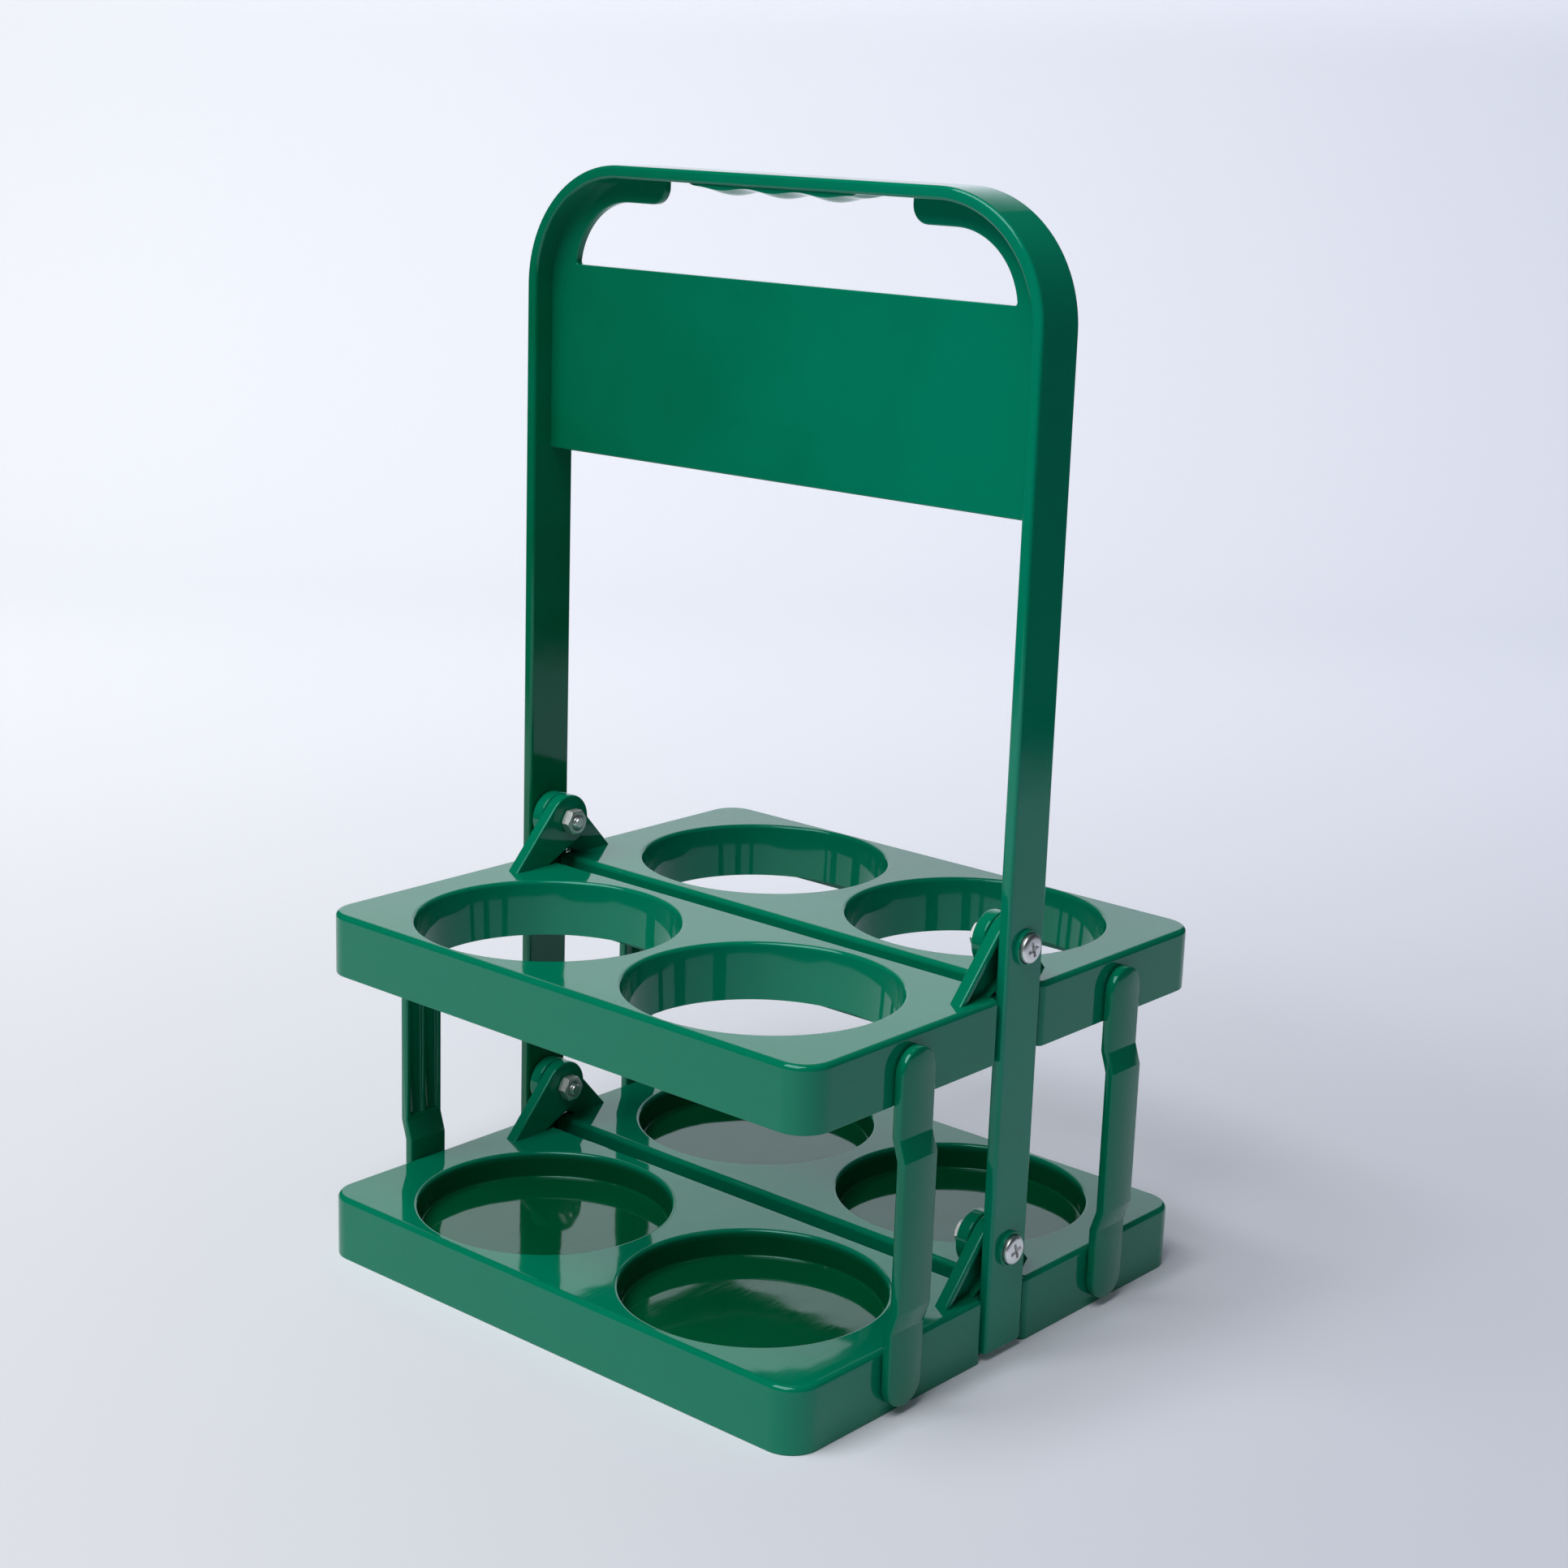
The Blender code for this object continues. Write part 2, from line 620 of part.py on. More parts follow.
def nut(name, material):
    """Hexagon nut along X, with its bearing face at the origin and its body inboard of it."""
    corner = NUT_ACROSS_FLATS / math.sqrt(3)
    piece = prism_object("nut", circle(0, 0, corner, 6), "X", -NUT_THICKNESS, 0)
    flat = corner - NUT_CHAMFER
    drop = NUT_CHAMFER / 2
    profile = [
        (0, -NUT_THICKNESS), (flat, -NUT_THICKNESS), (corner, drop - NUT_THICKNESS),
        (corner, -drop), (flat, 0), (0, 0),
    ]
    combine(piece, turned("crown", profile, "X", CROWN_STEPS), "INTERSECT")
    bore = circle(0, 0, bore_radius, SMALL_STEPS)
    cut(piece, prism_object("bore", bore, "X", -NUT_THICKNESS - OVERRUN, OVERRUN))
    finish(piece, name, material)
    return piece


def place(piece, where, turn):
    piece.location = where
    piece.rotation_euler = (0, 0, turn)


def build():
    clear_scene()
    handle_frame(frame_plastic())
    green = tray_plastic()
    lower = half_tray("lower_back_tray", LOWER_HEIGHT, CUP_RIM_RADIUS, CUP_TAPER, True, green)
    upper = half_tray("upper_back_tray", UPPER_HEIGHT, RING_RADIUS, 0, False, green)
    for level, tray, height in (("lower", lower, lower_pivot), ("upper", upper, upper_pivot)):
        place(tray, (0, 0, height), 0)
        place(copy_of(tray, level + "_front_tray"), (0, 0, height), math.pi)
    straps = [strap("back_right_strap", strap_plastic())]
    for name in ("back_left_strap", "front_right_strap", "front_left_strap"):
        straps.append(copy_of(straps[0], name))
    peg_height = lower_pivot - PEG_DROP
    for piece, side, out in zip(straps, (1, -1, 1, -1), (1, 1, -1, -1)):
        place(piece, (side * half_width, out * pocket_y, peg_height), 0 if side == 1 else math.pi)
    screws = screw("lower_right_screw", zinc_steel("screw_steel"))
    nuts = nut("lower_right_nut", zinc_steel("nut_steel"))
    for level, height in (("lower", lower_pivot), ("upper", upper_pivot)):
        for hand, side in (("right", 1), ("left", -1)):
            first = level == "lower" and side == 1
            pin = screws if first else copy_of(screws, f"{level}_{hand}_screw")
            cap = nuts if first else copy_of(nuts, f"{level}_{hand}_nut")
            turn = 0 if side == 1 else math.pi
            place(pin, (side * (frame_out + RUNNING_GAP), 0, height), turn)
            place(cap, (side * nut_seat, 0, height), turn)


build()
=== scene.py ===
# Foldable drink carrier: a tall green handle frame with four hinged half
# trays, open rings above and cups below, standing on a pale paper sweep.
import math

import bmesh
import bpy
from mathutils import Matrix, Vector


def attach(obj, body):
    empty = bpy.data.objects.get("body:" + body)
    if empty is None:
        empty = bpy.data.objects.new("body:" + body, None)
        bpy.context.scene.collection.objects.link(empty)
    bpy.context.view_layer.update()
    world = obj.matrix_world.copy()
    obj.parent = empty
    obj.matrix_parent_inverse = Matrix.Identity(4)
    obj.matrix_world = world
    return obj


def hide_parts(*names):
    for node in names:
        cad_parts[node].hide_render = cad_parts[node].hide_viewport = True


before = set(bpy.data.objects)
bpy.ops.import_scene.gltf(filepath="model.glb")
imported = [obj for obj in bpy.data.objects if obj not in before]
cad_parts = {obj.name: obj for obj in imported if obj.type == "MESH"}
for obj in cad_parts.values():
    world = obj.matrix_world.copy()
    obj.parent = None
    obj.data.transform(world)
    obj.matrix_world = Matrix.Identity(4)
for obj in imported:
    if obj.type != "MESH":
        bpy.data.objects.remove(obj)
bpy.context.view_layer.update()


# Camera. It stands to the right of the carrier's front and a little above the
# grip, with a 62 mm lens on a 36 mm frame, and leans two degrees to one side.
CAMERA_PLACE = Vector((0.4888, -0.5644, 0.3370))
CAMERA_YAW = math.radians(40.556)
CAMERA_PITCH = math.radians(14.451)
CAMERA_ROLL = 0.03377
lens = bpy.data.cameras.new("view")
lens.lens = 62.4
lens.sensor_width = 36.0
lens.sensor_fit = "HORIZONTAL"
view = bpy.data.objects.new("view", lens)
bpy.context.scene.collection.objects.link(view)
aim = Matrix.Rotation(CAMERA_YAW, 4, "Z") @ Matrix.Rotation(math.pi / 2 - CAMERA_PITCH, 4, "X")
view.matrix_world = Matrix.Translation(CAMERA_PLACE) @ aim @ Matrix.Rotation(CAMERA_ROLL, 4, "Z")
bpy.context.scene.camera = view
bpy.context.scene.view_settings.view_transform = "Standard"


def linear(code):
    """An sRGB hex colour as linear red, green, blue and full alpha."""
    parts = [int(code[start:start + 2], 16) / 255 for start in (1, 3, 5)]
    return [c / 12.92 if c <= 0.04045 else ((c + 0.055) / 1.055) ** 2.4 for c in parts] + [1]


def add_node(tree, kind, settings, sockets):
    """A node with its settings, and each socket set to a value or linked to an output."""
    node = tree.nodes.new(kind)
    for key, value in settings.items():
        setattr(node, key, value)
    for key, value in sockets.items():
        if isinstance(value, bpy.types.NodeSocket):
            tree.links.new(value, node.inputs[key])
        else:
            node.inputs[key].default_value = value
    return node


# Paper sweep. A strip of pale paper lies under the carrier and curves up behind
# it. It is matt and slightly bluish, with painted shade that makes it a little
# greyer towards the right.
SWEEP_HALF_WIDTH = 0.85
SWEEP_FRONT = 0.95
SWEEP_BACK = 1.05
SWEEP_BEND = 0.40
SWEEP_HEIGHT = 1.5
SWEEP_STEPS = 24
SEAM = 0.000001


def of_kind(geometry, kind):
    """The elements of one kind in what a bmesh step gives back."""
    return [item for item in geometry if isinstance(item, kind)]


def run_on(shape, edges, way):
    """Draws edges out along a straight stretch, and gives back the far ones."""
    geometry = bmesh.ops.extrude_edge_only(shape, edges=edges)["geom"]
    ends = of_kind(geometry, bmesh.types.BMVert)
    bmesh.ops.translate(shape, verts=ends, vec=way)
    return [edge for edge in of_kind(geometry, bmesh.types.BMEdge) if set(edge.verts) <= set(ends)]


def bend(shape, edges, centre, axis, angle, steps):
    """Draws edges round a corner, and gives back the far ones."""
    geometry = bmesh.ops.spin(
        shape, geom=edges, cent=centre, axis=axis, angle=angle, steps=steps,
    )["geom_last"]
    return of_kind(geometry, bmesh.types.BMEdge)


def as_piece(shape, name):
    """An object made of a bmesh, which is used up."""
    mesh = bpy.data.meshes.new(name)
    shape.to_mesh(mesh)
    shape.free()
    piece = bpy.data.objects.new(name, mesh)
    bpy.context.scene.collection.objects.link(piece)
    return piece


shape = bmesh.new()
near = [shape.verts.new((side * SWEEP_HALF_WIDTH, -SWEEP_FRONT, 0)) for side in (-1, 1)]
edge = run_on(shape, [shape.edges.new(near)], (0, SWEEP_FRONT + SWEEP_BACK, 0))
edge = bend(shape, edge, (0, SWEEP_BACK, SWEEP_BEND), (1, 0, 0), math.pi / 2, SWEEP_STEPS)
run_on(shape, edge, (0, 0, SWEEP_HEIGHT))
bmesh.ops.remove_doubles(shape, verts=shape.verts, dist=SEAM)
bmesh.ops.recalc_face_normals(shape, faces=shape.faces)
bmesh.ops.rotate(shape, verts=shape.verts, matrix=Matrix.Rotation(CAMERA_YAW, 3, "Z"))
sweep = as_piece(shape, "paper_sweep")
sweep.data.shade_smooth()

PALE_TONE = "#F4F6FB"
SHADED_PAPER_TONE = "#E5E9F6"
ROOM_TONE = "#2C3036"
FAN_HALF_TURN = 0.045
TO_THE_RIGHT = (0.76, 0.65, 0)
TO_THE_BACK = (-0.65, 0.76, 0)
BACK_GLOW = 0.45
HIGH_GLOW = 0.24
paper = bpy.data.materials.new("matt_sweep_paper")
paper.use_nodes = True
tree = paper.node_tree
shader = tree.nodes["Principled BSDF"]
shader.inputs["Roughness"].default_value = 0.9
shader.inputs["Specular IOR Level"].default_value = 0.1
place = add_node(tree, "ShaderNodeTexCoord", {}, {}).outputs["Object"]
path = add_node(tree, "ShaderNodeLightPath", {}, {}).outputs
# Painted shade: paler on the left and greyer on the right, fanning out from under the camera.
fan = add_node(tree, "ShaderNodeMapping", {"vector_type": "TEXTURE"}, {
    "Vector": place, "Location": (CAMERA_PLACE.x, CAMERA_PLACE.y, 0),
    "Rotation": (0, 0, CAMERA_YAW + math.pi / 2),
})
sector = add_node(tree, "ShaderNodeTexGradient", {"gradient_type": "RADIAL"}, {
    "Vector": fan.outputs["Vector"],
})
fade = add_node(tree, "ShaderNodeMapRange", {}, {
    "Value": sector.outputs["Fac"], "From Min": 0.5 + FAN_HALF_TURN, "From Max": 0.5 - FAN_HALF_TURN,
})
tone = add_node(tree, "ShaderNodeMix", {"data_type": "RGBA"}, {
    "Factor": fade.outputs["Result"], "A": linear(PALE_TONE), "B": linear(SHADED_PAPER_TONE),
})
# How far a point lies to the side, behind the middle and above the table, in metres,
# and what comes of it: two fades into the dark of the room, and two glows.
sideways = add_node(tree, "ShaderNodeVectorMath", {"operation": "DOT_PRODUCT"}, {
    0: place, 1: TO_THE_RIGHT,
})
outwards = add_node(tree, "ShaderNodeMath", {"operation": "ABSOLUTE"}, {
    0: sideways.outputs["Value"],
})
distance = add_node(tree, "ShaderNodeVectorMath", {"operation": "DOT_PRODUCT"}, {
    0: place, 1: TO_THE_BACK,
})
level = add_node(tree, "ShaderNodeSeparateXYZ", {}, {0: place}).outputs["Z"]
ramps = {}
for key, value, start, end, most in (
    ("edge", outwards.outputs["Value"], 0.62, 0.82, 1),
    ("top", level, 0.6, 1.7, 1),
    ("back", distance.outputs["Value"], -0.25, 0.9, BACK_GLOW),
    ("high", level, 0.36, 0.5, HIGH_GLOW),
):
    ramps[key] = add_node(tree, "ShaderNodeMapRange", {"interpolation_type": "SMOOTHSTEP"}, {
        "Value": value, "From Min": start, "From Max": end, "To Max": most,
    }).outputs["Result"]
# Mirrors see both side edges and the top fall away into the dark of the room.
dark = add_node(tree, "ShaderNodeMath", {"operation": "MAXIMUM"}, {
    0: ramps["edge"], 1: ramps["top"],
})
dark = add_node(tree, "ShaderNodeMath", {"operation": "SUBTRACT", "use_clamp": True}, {
    0: dark.outputs["Value"], 1: path["Is Camera Ray"],
})
tone = add_node(tree, "ShaderNodeMix", {"data_type": "RGBA"}, {
    "Factor": dark.outputs["Value"], "A": tone.outputs["Result"], "B": linear(ROOM_TONE),
})
tree.links.new(tone.outputs["Result"], shader.inputs["Base Color"])
# Where it stands up behind, the paper shows its own pale colour to the camera and
# to mirrors, and lights nothing.
looked_at = path["Is Camera Ray"]
for kind in ("Is Glossy Ray", "Is Transmission Ray"):
    looked_at = add_node(tree, "ShaderNodeMath", {"operation": "ADD", "use_clamp": True}, {
        0: looked_at, 1: path[kind],
    }).outputs["Value"]
glow = add_node(tree, "ShaderNodeMath", {"operation": "ADD"}, {
    0: ramps["back"], 1: ramps["high"],
})
glow = add_node(tree, "ShaderNodeMath", {"operation": "MULTIPLY"}, {
    0: glow.outputs["Value"], 1: looked_at,
})
tree.links.new(tone.outputs["Result"], shader.inputs["Emission Color"])
tree.links.new(glow.outputs["Value"], shader.inputs["Emission Strength"])
sweep.data.materials.append(paper)


# Light. One large soft lamp hangs high in front of the carrier and a little to
# its left, and the room round it is dim.
LAMP_PLACE = Vector((-0.12, -0.95, 1.8))
LAMP_TARGET = Vector((0.0, 0.0, 0.1))
lamp = bpy.data.lights.new("high_softbox", "AREA")
lamp.shape = "RECTANGLE"
lamp.size = 1.6
lamp.size_y = 1.4
lamp.energy = 35
holder = bpy.data.objects.new("high_softbox", lamp)
bpy.context.scene.collection.objects.link(holder)
turn = (LAMP_TARGET - LAMP_PLACE).to_track_quat("-Z", "Y").to_matrix().to_4x4()
holder.matrix_world = Matrix.Translation(LAMP_PLACE) @ turn

DIFFUSE_TONE = "#4B4E53"
HORIZON_TONE = "#E4E8F1"
room = bpy.data.worlds.new("dim_room")
bpy.context.scene.world = room
room.use_nodes = True
tree = room.node_tree
backdrop = tree.nodes["Background"]
path = add_node(tree, "ShaderNodeLightPath", {}, {}).outputs
lit = add_node(tree, "ShaderNodeMix", {"data_type": "RGBA"}, {
    "Factor": path["Is Diffuse Ray"], "A": linear(ROOM_TONE), "B": linear(DIFFUSE_TONE),
})
seen = add_node(tree, "ShaderNodeMix", {"data_type": "RGBA"}, {
    "Factor": path["Is Camera Ray"], "A": lit.outputs["Result"], "B": linear(HORIZON_TONE),
})
tree.links.new(seen.outputs["Result"], backdrop.inputs["Color"])
backdrop.inputs["Strength"].default_value = 1


# Handle frame. One moulding of glossy polypropylene: a flat band bent round the
# grip and down both sides, a thin web with the hand slot in it, finger waves
# under the grip and a raised collar round each screw head.
MM = 0.001
FRAME_OUT = 92.0 * MM
FRAME_IN = 88.4 * MM
FRAME_TOP = 313.3 * MM
FRAME_FOOT = 2.3 * MM
FRAME_CORNER = 35.0 * MM
FOOT_EDGE = 0.3 * MM
BAND_DEPTH = 16.0 * MM
BAND_EDGE = 1.0 * MM
CORNER_STEPS = 28
LOWER_PIVOT = 31.5 * MM
UPPER_PIVOT = 117.6 * MM
SCREW_BORE = 2.3 * MM
OVERRUN = 2.0 * MM
SHARP_ANGLE = math.radians(35)


def arc(centre_u, centre_v, radius, start, end, steps):
    """Points along an arc, both ends included."""
    points = []
    for step in range(steps + 1):
        angle = start + (end - start) * step / steps
        points.append((centre_u + radius * math.cos(angle), centre_v + radius * math.sin(angle)))
    return points


def circle(centre_u, centre_v, radius, steps):
    """Points round a full circle."""
    return arc(centre_u, centre_v, radius, 0, 2 * math.pi, steps)[:-1]


def rounded(corners, steps):
    """Outline whose corners, given as (u, v, radius), are turned into arcs."""
    points = []
    for index, (u, v, radius) in enumerate(corners):
        if radius == 0:
            points.append((u, v))
            continue
        before = Vector(corners[index - 1][:2])
        after = Vector(corners[(index + 1) % len(corners)][:2])
        here = Vector((u, v))
        back, on = (before - here).normalized(), (after - here).normalized()
        half = back.angle(on) / 2
        shortest = min((before - here).length, (after - here).length)
        radius = min(radius, math.tan(half) * shortest * 0.8)
        centre = here + (back + on).normalized() * radius / math.sin(half)
        first = here + back * radius / math.tan(half) - centre
        last = here + on * radius / math.tan(half) - centre
        start = math.atan2(first.y, first.x)
        turn = (math.atan2(last.y, last.x) - start + math.pi) % (2 * math.pi) - math.pi
        points += arc(centre.x, centre.y, radius, start, start + turn, steps)
    return points


def slab(outline, low, high, facing="Z"):
    """Bmesh of a flat outline pushed from low to high along X, Y or Z."""
    shape = bmesh.new()
    face = shape.faces.new([shape.verts.new((u, v, low)) for u, v in outline])
    pushed = bmesh.ops.extrude_face_region(shape, geom=[face])["geom"]
    top = of_kind(pushed, bmesh.types.BMVert)
    bmesh.ops.translate(shape, verts=top, vec=(0, 0, high - low))
    turns = {
        "X": Matrix(((0, 0, 1), (1, 0, 0), (0, 1, 0))),
        "Y": Matrix(((1, 0, 0), (0, 0, 1), (0, 1, 0))),
    }
    if facing in turns:
        bmesh.ops.transform(shape, matrix=turns[facing].to_4x4(), verts=shape.verts)
    bmesh.ops.recalc_face_normals(shape, faces=shape.faces)
    return shape


def soften(shape, width, steps, chosen):
    """Rounds the edges that the test picks."""
    bmesh.ops.bevel(
        shape, geom=[edge for edge in shape.edges if chosen(edge)], offset=width,
        offset_type="OFFSET", affect="EDGES", segments=steps, profile=0.5,
        clamp_overlap=False, material=-1,
    )


def at_level(axis, level):
    """A test for edges that lie in one plane across X, Y or Z."""
    return lambda edge: all(abs(vert.co[axis] - level) < SEAM for vert in edge.verts)


def on_side(shape, side):
    """The bmesh of something on the right, mirrored if the side is the left one."""
    if side < 0:
        bmesh.ops.scale(shape, verts=shape.verts, vec=(-1, 1, 1))
        bmesh.ops.reverse_faces(shape, faces=shape.faces)
    return shape


def merged(shapes):
    """One bmesh that holds several that don't touch."""
    whole = bmesh.new()
    for shape in shapes:
        mesh = bpy.data.meshes.new("part")
        shape.to_mesh(mesh)
        shape.free()
        whole.from_mesh(mesh)
        bpy.data.meshes.remove(mesh)
    return whole


def as_modified(piece):
    """A new mesh of the piece as its modifiers leave it."""
    bpy.context.view_layer.update()
    result = piece.evaluated_get(bpy.context.evaluated_depsgraph_get())
    return bpy.data.meshes.new_from_object(result)


def carve(piece, shape, operation):
    """Cuts a bmesh out of a piece, joins it on, or keeps what they share."""
    tool = as_piece(shape, "tool")
    step = piece.modifiers.new("carve", "BOOLEAN")
    step.operation = operation
    step.solver = "EXACT"
    step.object = tool
    result = as_modified(piece)
    piece.modifiers.remove(step)
    piece.data = result
    bpy.data.objects.remove(tool, do_unlink=True)


def finish(piece, material, edge_width=0):
    """Optional small edge rounding, smooth faces, and flats that shade flat."""
    if edge_width:
        rounding = piece.modifiers.new("edges", "BEVEL")
        rounding.width = edge_width
        rounding.segments = 2
        rounding.limit_method = "ANGLE"
        rounding.angle_limit = math.radians(40)
        rounding.use_clamp_overlap = True
    piece.data.shade_smooth()
    piece.data.set_sharp_from_angle(angle=SHARP_ANGLE)
    even = piece.modifiers.new("even", "WEIGHTED_NORMAL")
    even.keep_sharp = True
    result = as_modified(piece)
    piece.modifiers.clear()
    piece.data = result
    result.name = piece.name
    result.materials.clear()
    result.materials.append(material)


def moulded_plastic(name, colour, deep, shade_slope=0):
    """Glossy polypropylene as it leaves a polished mould."""
    material = bpy.data.materials.new(name)
    material.use_nodes = True
    tree = material.node_tree
    shader = tree.nodes["Principled BSDF"]
    shader.inputs["IOR"].default_value = 1.49
    shader.inputs["Specular Tint"].default_value = (0.58, 1, 1, 1)
    place = add_node(tree, "ShaderNodeTexCoord", {}, {}).outputs["Object"]
    # Pigment clouds some 30 mm across, barely there.
    cloud = add_node(tree, "ShaderNodeTexNoise", {}, {
        "Vector": place, "Scale": 1 / (30 * MM), "Detail": 2.0, "Roughness": 0.5,
    })
    pigment_and_shade, thin, thick = cloud.outputs["Fac"], 0.1, 0.9
    if shade_slope:
        # Painted shade: the green also grows lighter from the left side of the moulding to the
        # right, and a little upwards, as the light falls across it.
        sideways = add_node(tree, "ShaderNodeVectorMath", {"operation": "DOT_PRODUCT"}, {
            0: place, 1: (shade_slope, 0, shade_slope / 4.5),
        })
        shade_sloped = add_node(tree, "ShaderNodeMath", {"operation": "ADD"}, {
            0: pigment_and_shade, 1: sideways.outputs["Value"],
        })
        pigment_and_shade, thin, thick = shade_sloped.outputs["Value"], -0.4, 1.5
    depth = add_node(tree, "ShaderNodeMapRange", {}, {
        "Value": pigment_and_shade, "From Min": thin, "From Max": thick,
    })
    tone = add_node(tree, "ShaderNodeMix", {"data_type": "RGBA"}, {
        "Factor": depth.outputs["Result"], "A": linear(deep), "B": linear(colour),
    })
    tree.links.new(tone.outputs["Result"], shader.inputs["Base Color"])
    # Rub marks: faint streaks under 1 mm wide and some 15 mm long.
    stretch = add_node(tree, "ShaderNodeMapping", {}, {
        "Vector": place, "Rotation": (0.3, 0.2, 0.5), "Scale": (1, 0.06, 0.35),
    })
    streak = add_node(tree, "ShaderNodeTexNoise", {}, {
        "Vector": stretch.outputs["Vector"], "Scale": 1 / (0.9 * MM), "Detail": 3.0,
    })
    gloss = add_node(tree, "ShaderNodeMapRange", {}, {
        "Value": streak.outputs["Fac"], "From Min": 0.3, "From Max": 0.8,
        "To Min": 0.03, "To Max": 0.09,
    })
    tree.links.new(gloss.outputs["Result"], shader.inputs["Roughness"])
    # Shrinkage waves some 14 mm long and a few hundredths deep.
    wave = add_node(tree, "ShaderNodeTexNoise", {}, {
        "Vector": place, "Scale": 1 / (14 * MM), "Detail": 1.0,
    })
    relief = add_node(tree, "ShaderNodeBump", {}, {
        "Height": wave.outputs["Fac"], "Strength": 0.5, "Distance": 0.12 * MM,
    })
    tree.links.new(relief.outputs["Normal"], shader.inputs["Normal"])
    return material


# Painted shade: the frame's green is darker on its left and lower parts.
frame_plastic = moulded_plastic("glossy_green_polypropylene_frame", "#008867", "#00653D", shade_slope=9.0)
section = rounded([
    (FRAME_OUT, BAND_DEPTH / 2, BAND_EDGE), (FRAME_IN, BAND_DEPTH / 2, BAND_EDGE),
    (FRAME_IN, -BAND_DEPTH / 2, BAND_EDGE), (FRAME_OUT, -BAND_DEPTH / 2, BAND_EDGE),
], 5)
corner_x = FRAME_OUT - FRAME_CORNER
corner_z = FRAME_TOP - FRAME_CORNER
shape = bmesh.new()
foot = shape.faces.new([shape.verts.new((u, v, FRAME_FOOT)) for u, v in section])
loop = run_on(shape, list(foot.edges), (0, 0, corner_z - FRAME_FOOT))
loop = bend(shape, loop, (corner_x, 0, corner_z), (0, 1, 0), -math.pi / 2, CORNER_STEPS)
loop = run_on(shape, loop, (-2 * corner_x, 0, 0))
loop = bend(shape, loop, (-corner_x, 0, corner_z), (0, 1, 0), -math.pi / 2, CORNER_STEPS)
loop = run_on(shape, loop, (0, 0, FRAME_FOOT - corner_z))
bmesh.ops.edgeloop_fill(shape, edges=loop)
bmesh.ops.remove_doubles(shape, verts=shape.verts, dist=SEAM)
bmesh.ops.recalc_face_normals(shape, faces=shape.faces)
soften(shape, FOOT_EDGE, 2, at_level(2, FRAME_FOOT))
handle = as_piece(shape, "handle_frame_moulding")

# The web fills the band's top and ends in a hook at either end of the hand slot.
PANEL_FOOT = 230.5 * MM
PANEL_THICKNESS = 2.5 * MM
PANEL_EDGE = 0.45 * MM
SLOT_FLOOR = 284.5 * MM
SLOT_CORNER = 2.2 * MM
CRESCENT_WIDTH = 10.4 * MM
CRESCENT_FOOT = 13.1 * MM
CRESCENT_BEND = 20.7 * MM
HOOK_LENGTH = 13.1 * MM
HOOK_CORNER = 5.0 * MM
hook_end = corner_x - HOOK_LENGTH
hook_level = FRAME_TOP - CRESCENT_WIDTH
bend_x = FRAME_OUT - CRESCENT_FOOT - CRESCENT_BEND
bend_z = hook_level - CRESCENT_BEND
mid_band = (FRAME_OUT - FRAME_IN) / 2
slot_angle = math.asin((SLOT_FLOOR - bend_z) / CRESCENT_BEND)
outer_bend = arc(corner_x, corner_z, FRAME_CORNER - mid_band, 0, math.pi / 2, CORNER_STEPS)
inner_bend = arc(bend_x, bend_z, CRESCENT_BEND, math.pi / 2, slot_angle, 24)
right = [(FRAME_OUT - mid_band, PANEL_FOOT, 0)]
right += [(u, v, 0) for u, v in outer_bend]
right += [(hook_end, FRAME_TOP - mid_band, 0), (hook_end, hook_level, HOOK_CORNER)]
right += [(u, v, 0) for u, v in inner_bend[:-1]]
right += [(inner_bend[-1][0], SLOT_FLOOR, SLOT_CORNER)]
left = [(-u, v, radius) for u, v, radius in reversed(right)]
web = slab(rounded(right + left, 8), -PANEL_THICKNESS / 2, PANEL_THICKNESS / 2, "Y")
soften(web, PANEL_EDGE, 3, lambda edge: abs(edge.verts[0].co.y - edge.verts[1].co.y) < PANEL_EDGE)
carve(handle, web, "UNION")

# The three finger waves swell out of the grip's underside, crowned across its depth.
FINGER_PITCH = 18.3 * MM
FINGER_FADE = 3.5 * MM
FINGER_BASE = 0.8 * MM
FINGER_WAVE = 0.8 * MM
FINGER_CROWN = 0.9
FINGER_SINK = 0.2 * MM
wave_reach = FINGER_PITCH * 1.5
half_grip = BAND_DEPTH / 2 - BAND_EDGE
underside = FRAME_TOP - (FRAME_OUT - FRAME_IN)
shape = bmesh.new()
spread = Matrix.Diagonal((wave_reach + FINGER_FADE, half_grip, 1, 1))
bmesh.ops.create_grid(shape, x_segments=90, y_segments=14, size=1, matrix=spread)
bmesh.ops.translate(shape, verts=shape.verts, vec=(0, 0, underside + mid_band))
pushed = bmesh.ops.extrude_face_region(shape, geom=list(shape.faces))["geom"]
for vert in of_kind(pushed, bmesh.types.BMVert):
    along, across = abs(vert.co.x), vert.co.y / half_grip
    inside = max(0, min(1, (wave_reach + FINGER_FADE - along) / FINGER_FADE))
    base = FINGER_BASE * inside * inside * (3 - 2 * inside)
    swell = (1 + math.cos(2 * math.pi * along / FINGER_PITCH)) / 2 if along < wave_reach else 0
    crown = 1 + FINGER_CROWN * (1 - across * across)
    vert.co.z = underside + FINGER_SINK - crown * (base + FINGER_WAVE * swell)
bmesh.ops.recalc_face_normals(shape, faces=shape.faces)
extras = [shape]

